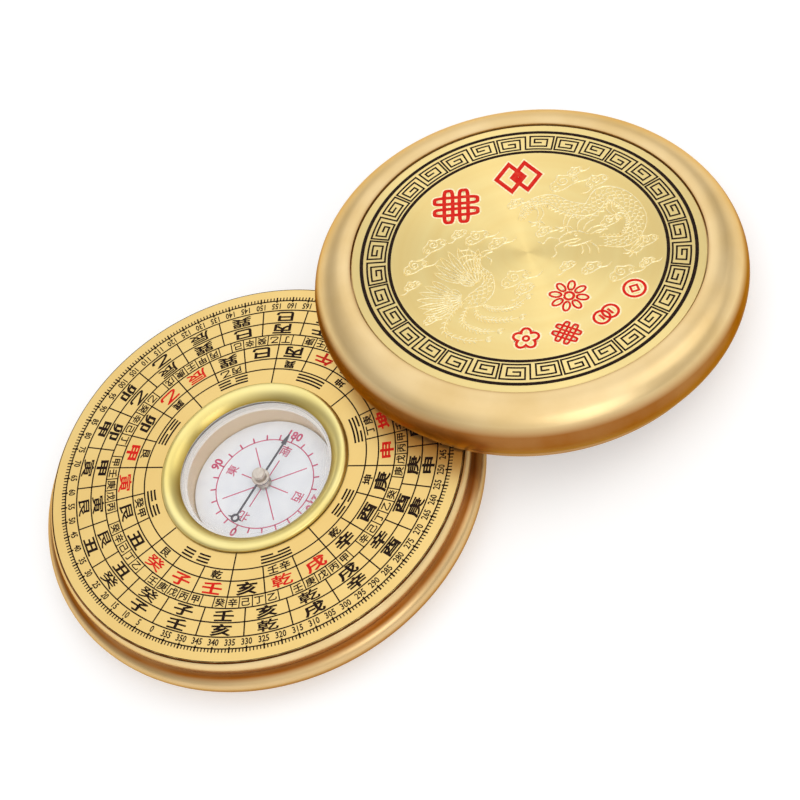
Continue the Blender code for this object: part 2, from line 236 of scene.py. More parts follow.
def write_piece(
    name: str,
    shape: Shape,
    material: Material,
    body: str,
    place: Matrix | None = None,
    smooth: float | None = None,
    weld: bool = False,
) -> bpy.types.Object:
    """Write a shape as a mesh object at the origin that rides on a body.

    Args:
        name: The piece's name.
        shape: Its points, faces, UVs and attributes.
        material: Its finish.
        body: The body that it rides on.
        place: Where its own frame lies in the world, in metres.
        smooth: The sharpest angle in degrees that is shaded smooth, or None for flat faces.
        weld: Whether to close seams and poles and turn the faces outwards.

    Returns:
        The object.
    """
    mesh = bpy.data.meshes.new(name)
    faces = [row for part in shape.faces for row in part.tolist()]
    mesh.from_pydata((shape.points * MM).tolist(), [], faces)
    if shape.uvs:
        layer = mesh.uv_layers.new(name="turning")
        layer.data.foreach_set("uv", np.concatenate([u.reshape(-1) for u in shape.uvs]))
    for note, values in shape.notes.items():
        single = values.ndim == 1
        attribute = mesh.attributes.new(note, "FLOAT" if single else "FLOAT_VECTOR", "POINT")
        attribute.data.foreach_set("value" if single else "vector", values.reshape(-1))
    if weld:
        welded = bmesh.new()
        welded.from_mesh(mesh)
        bmesh.ops.remove_doubles(welded, verts=welded.verts, dist=MM * MM)
        bmesh.ops.recalc_face_normals(welded, faces=welded.faces)
        welded.to_mesh(mesh)
        welded.free()
    if place is not None:
        mesh.transform(place)
    if smooth is not None:
        mesh.shade_smooth()
        mesh.set_sharp_from_angle(angle=math.radians(smooth))
    mesh.materials.append(material)
    mesh.update()
    piece = bpy.data.objects.new(name, mesh)
    bpy.context.scene.collection.objects.link(piece)
    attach(piece, body)
    LOG.info("%s: %d points, rides on %s", name, len(mesh.vertices), body)
    return piece


def dress(node: str, material: Material) -> None:
    """Give a carried-over node its finish.

    Args:
        node: The node's name.
        material: Its finish.
    """
    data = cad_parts[node].data
    data.materials.clear()
    data.materials.append(material)
    LOG.info("%s: dressed", node)


def turned(runs: Sequence[tuple[Any, Any]], count: int, ring: bool = False) -> Shape:
    """Turn a profile about the upright axis.

    Point (i, j) is (r_i cos a_j, r_i sin a_j, z_i), where a_j runs once round. The attribute
    "turning" holds (cos a, sin a, length along the profile), for marks left by the lathe.

    Args:
        runs: The profile, running down the outer side, as runs of (radius, height) pairs,
        each with its darkening from 0 to 1, part oxide and part painted shade; on the lens, how frosted it
        is.
        count: How many columns go round.
        ring: Whether the profile closes on itself instead of on the axis.

    Returns:
        The turned surface, with U round the axis and V along the profile.
    """
    parts = [np.array(points, float) for points, _ in runs]
    profile = np.vstack(parts)
    dark = np.concatenate([np.broadcast_to(run[1], len(part)) for run, part in zip(runs, parts)])
    angles = np.linspace(0.0, TAU, count, endpoint=False)
    radii, heights = profile[:, :1], profile[:, 1:]
    flat = np.zeros_like(angles)
    points = np.stack([radii * np.cos(angles), radii * np.sin(angles), heights + flat], axis=-1)
    steps = np.hypot(*np.diff(profile, axis=0).T)
    along = np.concatenate([[0.0], np.cumsum(steps)])[:, None] + flat
    marks = np.stack([np.cos(angles) + 0.0 * along, np.sin(angles) + 0.0 * along, along], axis=-1)
    faces = grid_faces(len(profile), count, ring, True)
    row, col = np.divmod(np.arange(len(faces)), count)
    v_all = np.append(along[:, 0], along[-1, 0] + 1.0)
    u = np.stack([col, col + 1, col + 1, col], axis=-1) / count
    v = np.stack([v_all[row], v_all[row], v_all[row + 1], v_all[row + 1]], axis=-1)
    # The second attribute is each point's darkening: oxide and painted shade on metal, frost on the lens.
    notes = {"turning": marks.reshape(-1, 3), "oxide_frost_and_painted_shade": np.repeat(dark, count)}
    return Shape(points.reshape(-1, 3), [faces], [np.stack([u, v], axis=-1)], notes)


def arc(centre: Sequence[float], radii: Any, start: float, end: float, count: int) -> np.ndarray:
    """Return count points centre + radii * (cos t, sin t), t running from start to end degrees."""
    t = np.radians(np.linspace(start, end, count))
    return np.asarray(centre) + np.stack([np.cos(t), np.sin(t)], axis=-1) * radii


def cove(points: Sequence[Sequence[float]], count: int) -> np.ndarray:
    """Return the inner points of a cubic Bezier curve, each a sum of four weighted points.

    Args:
        points: The curve's start, its two handles and its end.
        count: How many points to return, spaced evenly in the curve's own measure t.

    Returns:
        One (x, y) pair a row.
    """
    t = np.linspace(0.0, 1.0, count + 2)[1:-1, None]
    weights = np.hstack([(1 - t) ** 3, 3 * t * (1 - t) ** 2, 3 * t * t * (1 - t), t ** 3])
    return weights @ np.array(points, float)


def stroke(path: np.ndarray, width: Any, low: float, high: float, crown_share: float = 1.0) -> tuple:
    """Carry a bar along a path in the plane, with mitred corners.

    At each point the two edges lie half a width to each side, along the sum of the two
    neighbouring segments' normals over one plus their product, which keeps the width.

    Args:
        path: One (x, y) pair a row.
        width: The bar's width, or one for each point.
        low: The height of its underside.
        high: The height of its top.
        crown_share: How wide its top is, as a share of its foot.

    Returns:
        The bar's points and its faces.
    """
    run = np.diff(path, axis=0)
    run = run / np.maximum(np.hypot(run[:, 0], run[:, 1]), 1e-9)[:, None]
    normals = np.stack([-run[:, 1], run[:, 0]], axis=-1)
    before, after = np.vstack([normals[:1], normals]), np.vstack([normals, normals[-1:]])
    fold = 1.0 + np.sum(before * after, axis=1, keepdims=True)
    half = np.broadcast_to(np.asarray(width, float) / 2.0, (len(path),))[:, None]
    side = (before + after) / np.maximum(fold, 0.3) * half
    floor, top = np.full((len(path), 1), low), np.full((len(path), 1), high)
    crown = side * crown_share
    corners = ((path + side, floor), (path + crown, top), (path - crown, top), (path - side, floor))
    points = np.stack([np.hstack(pair) for pair in corners], axis=1).reshape(-1, 3)
    sides = grid_faces(len(path), 4, False, True)
    last = 4 * (len(path) - 1)
    caps = np.array([[3, 2, 1, 0], [last, last + 1, last + 2, last + 3]])
    return points, [sides[:, ::-1], caps[:, ::-1]]


def band(radius: float, width: float, low: float, high: float, count: int = 360) -> tuple:
    """Return a flat ring: a bar's four corners turned about the axis.

    Args:
        radius: The ring's middle radius.
        width: Its width.
        low: The height of its underside.
        high: The height of its top.
        count: How many columns go round.

    Returns:
        The ring's points and faces.
    """
    inner, outer = radius - width / 2, radius + width / 2
    corners = [(inner, high), (outer, high), (outer, low), (inner, low)]
    shape = turned([(corners, 0.0)], count, True)
    return shape.points, [part[:, ::-1] for part in shape.faces]


def on_ring(points: np.ndarray, bearing: float, radius: float, facing: float = 1.0) -> np.ndarray:
    """Set a flat figure on a ring so that its top points to the middle, or away from it.

    A point (x, y) goes to the ring's centre line, y towards the middle and x anticlockwise.

    Args:
        points: The figure's points, with a third column for the height if it has one.
        bearing: The figure's bearing.
        radius: The ring's radius.
        facing: 1 if the figure's top points to the middle, -1 if it points away.

    Returns:
        The placed points.
    """
    b = math.radians(bearing)
    out, turn = np.array([math.sin(b), math.cos(b)]), np.array([-math.cos(b), math.sin(b)])
    flat = out * (radius - facing * points[:, 1:2]) + turn * facing * points[:, :1]
    return np.hstack([flat, points[:, 2:]])


def spline(points: Sequence[Sequence[float]], count: int) -> np.ndarray:
    """Return a smooth path through points.

    Each span is a cubic whose slope at a point is half the step between its two neighbours.

    Args:
        points: The points that the path goes through.
        count: How many points to return.

    Returns:
        One (x, y) pair a row.
    """
    p = np.asarray(points, float)
    p = np.vstack([2 * p[0] - p[1], p, 2 * p[-1] - p[-2]])
    t = np.linspace(0.0, len(p) - 3, count)
    k = np.minimum(t.astype(int), len(p) - 4)
    s = (t - k)[:, None]
    a, b, c, d = p[k], p[k + 1], p[k + 2], p[k + 3]
    bend = 2 * a - 5 * b + 4 * c - d + s * (3 * (b - c) + d - a)
    return b + 0.5 * s * (c - a + s * bend)


def scroll(centre: Sequence[float], size: float, start: float, turns: float, count: int) -> np.ndarray:
    """Return a spiral whose radius falls evenly from size to a fifth of it as it turns.

    Args:
        centre: The spiral's middle.
        size: Its outer radius.
        start: The angle in degrees where it starts.
        turns: How often it goes round; below zero it runs clockwise.
        count: How many points to return.

    Returns:
        One (x, y) pair a row.
    """
    t = np.linspace(0.0, 1.0, count)
    angle = math.radians(start) + TAU * turns * t
    radius = size * (1.0 - 0.8 * t)
    return np.asarray(centre) + np.stack([radius * np.cos(angle), radius * np.sin(angle)], axis=-1)


def polar(bearings: Any, radii: Any) -> np.ndarray:
    """Return (x, y) pairs for bearings in degrees and radii."""
    b, r = np.broadcast_arrays(np.radians(bearings), radii)
    return np.stack([r * np.sin(b), r * np.cos(b)], axis=-1)


@lru_cache(maxsize=None)
def glyph(text: str, weight: float, detail: int) -> tuple[np.ndarray, np.ndarray]:
    """Cut one character or numeral as a flat closed body, one unit high, about its middle.

    Args:
        text: What to cut.
        weight: How far its sides swell beyond its outline, in units.
        detail: How finely its curves are divided.

    Returns:
        Its points, with the body between 0 and 1 in the third column, and its triangles.
    """
    curve = bpy.data.curves.new("glyph", "FONT")
    curve.body = text
    curve.size = 1.0
    curve.bevel_depth = weight
    curve.bevel_resolution = 0
    curve.extrude = 0.5
    curve.resolution_u = detail
    holder = bpy.data.objects.new("glyph", curve)
    bpy.context.scene.collection.objects.link(holder)
    bpy.context.view_layer.update()
    made = bpy.data.meshes.new_from_object(holder)
    shaped = bmesh.new()
    shaped.from_mesh(made)
    bmesh.ops.remove_doubles(shaped, verts=shaped.verts, dist=1e-4)
    bmesh.ops.triangulate(shaped, faces=shaped.faces)
    points = np.array([vert.co for vert in shaped.verts])
    triangles = np.array([[vert.index for vert in face.verts] for face in shaped.faces])
    shaped.free()
    bpy.data.objects.remove(holder, do_unlink=True)
    bpy.data.meshes.remove(made)
    bpy.data.curves.remove(curve)
    low, high = points.min(axis=0), points.max(axis=0)
    middle = (low + high) / 2
    tall = np.array([1.0, 1.0, high[2] - low[2]])
    return (points - np.array([middle[0], middle[1], low[2]])) / tall, triangles


class Print(Stock):
    """Ink on a flat top, a few hundredths of a millimetre thick."""

    def __init__(self, top: float, extra: float = 0.0) -> None:
        """Set the ink's underside and its top.

        Args:
            top: The height of what is printed on.
            extra: How much thicker than usual the ink is.
        """
        super().__init__()
        self.low = top - INK_SINK
        self.high = top + INK_RAISE + extra

    def ring(self, radius: float, width: float, count: int = 360) -> None:
        """Add a circle round the axis, of count straight sides."""
        self.add(*band(radius, width, self.low, self.high, count))

    def line(self, path: np.ndarray, width: float) -> None:
        """Add a line along a path."""
        self.add(*stroke(path, width, self.low, self.high))

    def radial(self, bearing: float, inner: float, outer: float, width: float) -> None:
        """Add a straight line at a bearing, from one radius to another."""
        self.line(polar(bearing, [inner, outer]), width)

    def sign(
        self,
        text: str,
        face: Sequence[float],
        bearing: float,
        radius: float,
        detail: int = 3,
        facing: float = 1.0,
    ) -> None:
        """Add a character or numeral on a ring.

        Args:
            text: What it says.
            face: The width and height of its em square, and how far its sides swell, in em.
            bearing: Its bearing.
            radius: Its ring's radius.
            detail: How finely its curves are divided.
            facing: 1 if its top points to the middle, -1 if it points away.
        """
        width, height, weight = face
        points, triangles = glyph(text, weight, detail)
        points = points * (width, height, self.high - self.low) + (0.0, 0.0, self.low)
        self.add(on_ring(points, bearing, radius, facing), [triangles])


@dataclass(frozen=True)
class TurnedBrass:
    """Yellow brass, turned and satin lacquered: soft broad glow, finest rings, and darker folds and
    undersides, part oxide and part painted shade.
    """

    name: str = "turned_brass"
    bright: str = "EDD29E"
    deep: str = "E1C288"
    # Colour of brass oxide, and of the painted shade in folds, grooves and undersides.
    oxide_and_shade_colour: str = "96581A"
    roughness: float = 0.34
    edge: str = "EBC68C"
    groove_mm: float = 0.35
    groove_depth_mm: float = 0.04
    clouds_per_m: float = 70.0

    def material(self) -> Material:
        """Build the material; its rings follow the turning attribute, and its mix of oxide and painted
        shade follows the darkening attribute.
        """
        nodes = new_finish(self.name)
        rings = nodes.grain(nodes.note("turning", "Vector"), (1.5, 1.5, 1 / self.groove_mm), 3.0)
        clouds = nodes.noise(nodes.place(), self.clouds_per_m, 4.0)
        tone = nodes.tone(clouds, [(0.3, self.deep), (0.7, self.bright)])
        patchy = nodes.span(clouds, 0.88, 1.08, 0.3, 0.7)
        # Darkening share: part oxide, part painted shade in folds, hollows and undersides, made patchy by
        # the clouds.
        worn = nodes.math("MULTIPLY", nodes.note("oxide_frost_and_painted_shade", "Fac"), patchy, clamp=True)
        rough = nodes.span(rings, self.roughness - 0.05, self.roughness + 0.09)
        bump = nodes.add("Bump", {"Strength": 0.1, "Distance": self.groove_depth_mm * MM, "Height": rings})
        more = {"Specular Tint": linear(self.edge), "Normal": bump.outputs[0]}
        return nodes.metal(nodes.mix(worn, tone, self.oxide_and_shade_colour), rough, more)


@dataclass(frozen=True)
class GiltPlate:
    """Brass sheet, finely brushed and gilt: a flat warm glow with a trace of straight grain."""

    bright: str = "F7D78C"
    deep: str = "F1CD80"
    roughness: float = 0.36
    grain_mm: float = 0.25
    grain_length: float = 40.0
    clouds_per_m: float = 45.0

    def material(self) -> Material:
        """Build the material; the grain runs along object Y."""
        nodes = new_finish("brushed_gilt_plate")
        place = nodes.place()
        fine = 1 / (self.grain_mm * MM)
        lines = nodes.grain(place, (fine, fine / self.grain_length, fine), 2.0)
        mixed = nodes.math("MULTIPLY_ADD", lines, 0.2, nodes.noise(place, self.clouds_per_m, 3.0))
        tone = nodes.tone(mixed, [(0.4, self.deep), (0.8, self.bright)])
        return nodes.metal(tone, nodes.span(lines, self.roughness - 0.02, self.roughness + 0.03))


@dataclass(frozen=True)
class SpunGilt:
    """Gilt disc spun on a lathe: its finest rings draw the light into bright rays."""

    bright: str = "FCE6A1"
    deep: str = "F8DD94"
    roughness: float = 0.48
    ring_mm: float = 0.3
    anisotropy: float = 0.9

    def material(self) -> Material:
        """Build the material; the grain follows the piece's own UV map."""
        nodes = new_finish("spun_gilt_disc")
        lines = nodes.grain(nodes.note("turning", "Vector"), (0.2, 0.2, 1 / self.ring_mm), 2.0)
        tone = nodes.tone(lines, [(0.3, self.deep), (0.65, self.bright)])
        grain = nodes.add("Tangent", direction_type="UV_MAP", uv_map="turning").outputs[0]
        spun = {"Anisotropic": self.anisotropy, "Anisotropic Rotation": 0.25, "Tangent": grain}
        return nodes.metal(tone, self.roughness, spun)


@dataclass(frozen=True)
class FrostedGilt:
    """Gilt brass, struck and left frosted: paler and softer than the spun ground beside it."""

    bright: str = "FFF5CE"
    deep: str = "F8E4A8"
    roughness: float = 0.45
    grain_mm: float = 0.4

    def material(self) -> Material:
        """Build the material; its grain is drawn coarse enough to show."""
        nodes = new_finish("frosted_gilt")
        grain = nodes.noise(nodes.place(), 1 / (self.grain_mm * MM), 2.0)
        tone = nodes.tone(grain, [(0.38, self.deep), (0.58, self.bright)])
        return nodes.metal(tone, self.roughness)


@dataclass(frozen=True)
class PlainMetal:
    """A small polished or satin metal with a faint cloudiness."""

    name: str
    bright: str
    deep: str
    roughness: float
    cloud_mm: float

    def material(self) -> Material:
        """Build the material; the clouds lie in object space."""
        nodes = new_finish(self.name)
        clouds = nodes.noise(nodes.place(), 1 / (self.cloud_mm * MM), 3.0)
        tone = nodes.tone(clouds, [(0.35, self.deep), (0.65, self.bright)])
        return nodes.metal(tone, nodes.span(clouds, self.roughness - 0.04, self.roughness + 0.04))


@dataclass(frozen=True)
class Enamel:
    """Fired enamel ink: opaque, slightly glossy, a little uneven where it was wiped."""

    name: str
    colour: str
    worn: str
    roughness: float = 0.6
    gloss: float = 0.12
    specks_per_m: float = 900.0

    def material(self) -> Material:
        """Build the material; the wear is a fine noise in object space."""
        nodes = new_finish(self.name)
        specks = nodes.noise(nodes.place(), self.specks_per_m, 2.0)
        tone = nodes.tone(specks, [(0.45, self.colour), (0.8, self.worn)])
        look = {"Base Color": tone, "Roughness": self.roughness, "Specular IOR Level": self.gloss}
        return nodes.done(nodes.surface(look))


@dataclass(frozen=True)
class PrintedCard:
    """Coated white card: matt, faintly cool, with the least mottling of its coat."""

    light: str = "F5F9FF"
    shade: str = "EDF1F9"
    roughness: float = 0.6
    clouds_per_m: float = 300.0

    def material(self) -> Material:
        """Build the material; the mottling lies in object space."""
        nodes = new_finish("coated_card")
        clouds = nodes.noise(nodes.place(), self.clouds_per_m, 3.0)
        tone = nodes.tone(clouds, [(0.3, self.shade), (0.6, self.light)])
        return nodes.done(nodes.surface({"Base Color": tone, "Roughness": self.roughness}))


@dataclass(frozen=True)
class ClearAcrylic:
    """Cast acrylic, polished: clear straight through, with a gloss that grows at its edges."""

    tint: str = "FFFFFF"
    body: float = 0.03
    roughness: float = 0.06
    gloss_straight: float = 0.04
    clouds_per_m: float = 120.0

    def material(self) -> Material:
        """Build the material: a thin body, cloudy where the profile is frosted, under a gloss set by
        Fresnel.
        """
        nodes = new_finish("clear_acrylic_lens")
        clouds = nodes.noise(nodes.place(), self.clouds_per_m, 2.0)
        haze = nodes.span(clouds, self.body * 0.85, self.body * 1.15)
        look = {
            "Base Color": linear(self.tint),
            "Roughness": self.roughness,
            "IOR": ACRYLIC_IOR,
            "Alpha": nodes.math("ADD", haze, nodes.note("oxide_frost_and_painted_shade", "Fac"), clamp=True),
        }
        gloss = nodes.add("BsdfGlossy", {"Roughness": self.roughness}).outputs[0]
        facing = nodes.add("LayerWeight", {"Blend": 0.5}).outputs["Facing"]
        steep = nodes.math("POWER", facing, 5.0)
        mirror = nodes.math("MULTIPLY_ADD", steep, 1.0 - self.gloss_straight, self.gloss_straight)
        back = nodes.add("NewGeometry").outputs["Backfacing"]
        share = nodes.math("MULTIPLY", mirror, nodes.math("SUBTRACT", 1.0, back))
        return nodes.done(nodes.add("MixShader", {0: share, 1: nodes.surface(look), 2: gloss}).outputs[0])


@dataclass(frozen=True)
class ClearCup:
    """Clear moulded cup against brass: a beige wall, and a paler rim with a painted glow."""

    wall: str = "EED6B2"
    rim: str = "FBF6F0"
    rim_mm: float = 10.0
    fade_mm: float = 0.6
    roughness: float = 0.25
    painted_glow: float = 0.15
    thin: float = 0.82
    thick: float = 0.94
    flow_per_m: float = 180.0

    def material(self) -> Material:
        """Build the material; its colour and its painted glow follow the height."""
        nodes = new_finish("clear_moulded_cup")
        place = nodes.place()
        up = nodes.add("SeparateXYZ", {0: place}).outputs[2]
        height = nodes.span(up, 0.0, 1.0, (self.rim_mm - self.fade_mm) * MM, self.rim_mm * MM)
        look = {
            "Base Color": nodes.tone(height, [(0.0, self.wall), (1.0, self.rim)]),
            "Roughness": self.roughness,
            "IOR": ACRYLIC_IOR,
            "Alpha": nodes.span(nodes.noise(place, self.flow_per_m, 2.0), self.thin, self.thick),
            # Painted glow on the rim: an emission that rises with the height, though the cup is no lamp.
            "Emission Color": linear(self.rim),
            "Emission Strength": nodes.math("MULTIPLY", height, self.painted_glow),
        }
        return nodes.done(nodes.surface(look))


@dataclass
class Case:
    """Turned brass case: a lip, a groove and a larger bead over a flat foot."""

    dial_z: float = 12.6
    recess: float = 46.9
    recess_z: float = 11.4
    lip_radius: float = 47.6
    lip_round: float = 1.7
    lip_rise: float = 2.3
    lip_fall: float = 2.8
    lip_drop: float = 4.0
    lip_deg: float = 32.0
    groove_in: float = 0.8
    radius: float = 50.0
    belly: float = 6.44
    shoulder: float = 3.0
    shoulder_deg: float = 66.0
    under_round: float = 4.6
    under_deg: float = 50.0
    foot_bevel: float = 0.4
    pocket: float = 18.9
    pocket_z: float = 3.1
    columns: int = 256

    def shape(self) -> Shape:
        """Return the case.

        Its lip is two arcs of ellipses, its groove a cubic curve, and its bead an ellipse over
        a circle. A darkening, part oxide and part painted shade, fills the groove and lies under the lip,
        on the bead's lower side, underneath and in the hidden pocket.
        """
        centre = (self.lip_radius - self.lip_round, self.dial_z - self.lip_rise)
        inner = math.degrees(math.acos((self.recess - centre[0]) / self.lip_round))
        upper = arc(centre, (self.lip_round, self.lip_rise), inner, 0.0, 12)
        lower = arc(centre, (self.lip_round, self.lip_fall), 0.0, -self.lip_deg, 11)[1:]
        bead_round = (self.shoulder, self.dial_z - self.lip_drop - self.belly)
        bead_deg = np.linspace(self.shoulder_deg, 0.0, 18)
        bead = arc((self.radius - self.shoulder, self.belly), bead_round, self.shoulder_deg, 0.0, 18)
        root = self.lip_radius - self.groove_in
        groove = cove([lower[-1], (root, lower[-1][1]), (root, bead[0][1]), bead[0]], 10)
        centre = (self.radius - self.under_round, self.belly)
        under = arc(centre, self.under_round, 0.0, -self.under_deg, 14)[1:]
        below = np.linspace(0.0, self.under_deg, len(under))
        fall = (under[-1][1] - self.foot_bevel) * math.tan(math.radians(self.under_deg))
        foot = under[-1][0] - fall
        inside = [(0.0, self.pocket_z), (self.pocket, self.pocket_z)]
        inside += [(self.pocket, self.recess_z), (self.recess, self.recess_z)]
        outside = [(foot, self.foot_bevel), (foot - self.foot_bevel, 0.0), (0.0, 0.0)]
        # Darkening of each run, part oxide and part painted shade where shade falls: under the lip, in the
        # groove, on the bead's lower side and underneath.
        runs = [
            (inside, 0.8),
            (upper, 0.0),
            (lower, np.linspace(0.0, 0.4, len(lower)) ** 2.0),
            (groove, np.linspace(0.2, 0.9, len(groove))),
            (bead, np.interp(bead_deg, (41.2, 64.0), (0.24, 1.0))),
            (under, np.interp(below, (0.0, 20.0, 50.0), (0.4, 0.9, 0.5))),
            (outside, (0.5, 0.6, 0.3)),
        ]
        return turned(runs, self.columns)

    def build(self, brass: Material) -> None:
        """Turn the case in place of the plain one.

        Args:
            brass: The case's finish.
        """
        piece = write_piece("turned_case", self.shape(), brass, "case", smooth=40.0, weld=True)
        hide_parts("base_case")


class Ink(Enum):
    """The two enamels of the dial."""

    BLACK = "black"
    RED = "red"


@dataclass
class Dial:
    """Gilt dial plate with its printed rings of directions, from the bezel outwards.

    Each tick is how far it reaches in and out from its circle, and its width. Each face is the
    width and height of a sign's em square, and how far the sign's sides swell, in em.
    """

    top: float = 12.6
    tick_circle: float = 43.6
    rings: tuple[float, ...] = (40.93, 37.59, 34.30, 31.62, 27.89, 25.18)
    # A ring of painted shadow at the plate's edge, and its width.
    gap_shadow_line: float = 46.52
    gap_shadow_width: float = 0.11
    bezel_edge: float = 21.3
    line_width: float = 0.3
    plain_tick: tuple[float, ...] = (0.0, 0.855, 0.26)
    fifth_tick: tuple[float, ...] = (0.45, 0.95, 0.36)
    scale_turn: float = -1.0
    number_face: tuple[float, ...] = (1.62, 2.1, 0.022)
    number_inset: float = 0.12
    mountain_size: tuple[float, float] = (4.75, 2.8)
    colour_size: tuple[float, float] = (4.75, 3.1)
    mountain_weight: float = 0.032
    dense_weight: float = 0.018
    stem_face: tuple[float, ...] = (2.2, 2.05, 0.022)
    single_face: tuple[float, ...] = (2.6, 2.1, 0.026)
    pair_face: tuple[float, ...] = (2.5, 2.1, 0.024)
    pair_turn: float = 2.9
    trigram_radius: float = 22.85
    trigram_pitch: float = 0.78
    trigram_width: float = 0.4
    trigram_reach: float = 8.2
    trigram_break: float = 1.3
    mountains: str = "子癸丑艮寅甲卯乙辰巽巳丙午丁未坤申庚酉辛戌乾亥壬"
    red_mountains: str = "乾甲坤乙壬寅午戌癸申子辰"
    dense: str = "巽寅癸艮辰乾"
    stems: str = "甲乙丙丁戊己庚辛壬癸"
    trigrams: tuple[int, ...] = (0, 1, 5, 4, 7, 6, 2, 3)

    def lines(self) -> Print:
        """Return the circles, the cell borders and a thin black ring of painted shadow at the plate's
        edge.
        """
        ink = Print(self.top)
        for radius in (self.tick_circle, *self.rings):
            ink.ring(radius, self.line_width)
        # Painted shadow: a thin black ring where the gap between plate and lip falls in shade.
        ink.ring(self.gap_shadow_line, self.gap_shadow_width)
        outer, _, stem_outer, stem_inner, _, inner = self.rings
        borders = (
            (24, 0.0, stem_outer, outer, 1.0),
            (24, 7.5, inner, stem_inner, 1.0),
            (72, 2.5, stem_inner, stem_outer, 0.8),
            (8, 22.5, self.bezel_edge, inner, 1.0),
        )
        for count, turn, start, end, share in borders:
            for step in range(count):
                ink.radial(360.0 / count * step + turn, start, end, self.line_width * share)
        return ink

    def ticks(self) -> Print:
        """Return the degree ticks, the fifth ones heavier."""
        ink = Print(self.top)
        for degree in range(360):
            inwards, outwards, width = self.plain_tick if degree % 5 else self.fifth_tick
            ends = (self.tick_circle - inwards, self.tick_circle + outwards)
            ink.radial(degree + self.scale_turn, *ends, width)
        return ink

    def numbers(self) -> Print:
        """Return the degree numbers, each fifth degree."""
        ink = Print(self.top)
        radius = (self.tick_circle + self.rings[0]) / 2 - self.number_inset
        for degree in range(0, 360, 5):
            ink.sign(str(degree), self.number_face, degree + self.scale_turn, radius, 2)
        return ink

    def mountain_ring(self, inks: dict[Ink, Print], ring: int, turn: float, coloured: bool) -> None:
        """Add one ring of the twenty-four mountains.

        Args:
            inks: The print of each colour.
            ring: Which ring, counted from the outside.
            turn: How far the ring is turned from north.
            coloured: Whether some of its characters are red.
        """
        size = self.colour_size if coloured else self.mountain_size
        radius = (self.rings[ring] + self.rings[ring + 1]) / 2
        for step, sign in enumerate(self.mountains):
            ink = inks[Ink.RED if coloured and sign in self.red_mountains else Ink.BLACK]
            weight = self.dense_weight if sign in self.dense else self.mountain_weight
            ink.sign(sign, (*size, weight), 15.0 * step + turn, radius)

    def stem_ring(self, ink: Print) -> None:
        """Add the five stems between each pair of blank cells.

        Args:
            ink: The print that takes them.
        """
        radius = (self.rings[2] + self.rings[3]) / 2
        for group in range(12):
            for cell in range(5):
                sign = self.stems[(group + 2 * cell) % 10]
                ink.sign(sign, self.stem_face, 30.0 * group - 10.0 + 5.0 * cell, radius, 2)

    def inner_ring(self, ink: Print) -> None:
        """Add the small characters of the ring next to the trigrams.

        Args:
            ink: The print that takes them.
        """
        radius = (self.rings[4] + self.rings[5]) / 2
        for quarter, sign in enumerate("乾艮巽坤"):
            for bearing in (345 + 90 * quarter, 285 + 90 * quarter):
                ink.sign(sign, self.single_face, bearing, radius)
        for quarter, signs in enumerate(("癸甲", "丙乙", "丁庚", "壬辛")):
            for side, sign in zip((1, -1), signs):
                bearing = 45 + 90 * quarter + side * self.pair_turn
                ink.sign(sign, self.pair_face, bearing, radius)

    def trigram_ring(self, ink: Print) -> None:
        """Add the eight trigrams, three arcs each, whole or broken as its binary number says.

        Args:
            ink: The print that takes them.
        """
        reach, gap = self.trigram_reach, self.trigram_break
        for sector, number in enumerate(self.trigrams):
            for row in range(3):
                whole = bool(number >> (2 - row) & 1)
                radius = self.trigram_radius + self.trigram_pitch * row
                for start, end in [(-reach, reach)] if whole else [(-reach, -gap), (gap, reach)]:
                    bearings = 45.0 * sector + np.linspace(start, end, 9)
                    ink.line(polar(bearings, radius), self.trigram_width)

    def build(self, plate: Material, inks: dict[Ink, Material]) -> None:
        """Print the dial.

        Args:
            plate: The finish of the plate itself.
            inks: The finish of each ink.
        """
        dress("dial_plate", plate)
        mountains = {Ink.BLACK: Print(self.top), Ink.RED: Print(self.top)}
        self.mountain_ring(mountains, 0, 7.5, False)
        self.mountain_ring(mountains, 1, -7.5, False)
        self.mountain_ring(mountains, 3, 0.0, True)
        small = Print(self.top)
        self.stem_ring(small)
        self.inner_ring(small)
        self.trigram_ring(small)
        printed = {
            "dial_lines": (self.lines(), Ink.BLACK),
            "dial_degree_ticks": (self.ticks(), Ink.BLACK),
            "dial_degree_numbers": (self.numbers(), Ink.BLACK),
            "dial_mountains_black": (mountains[Ink.BLACK], Ink.BLACK),
            "dial_mountains_red": (mountains[Ink.RED], Ink.RED),
            "dial_stems_and_trigrams": (small, Ink.BLACK),
        }
        for name, (stock, colour) in printed.items():
            piece = write_piece(name, stock.shape(), inks[colour], "case")


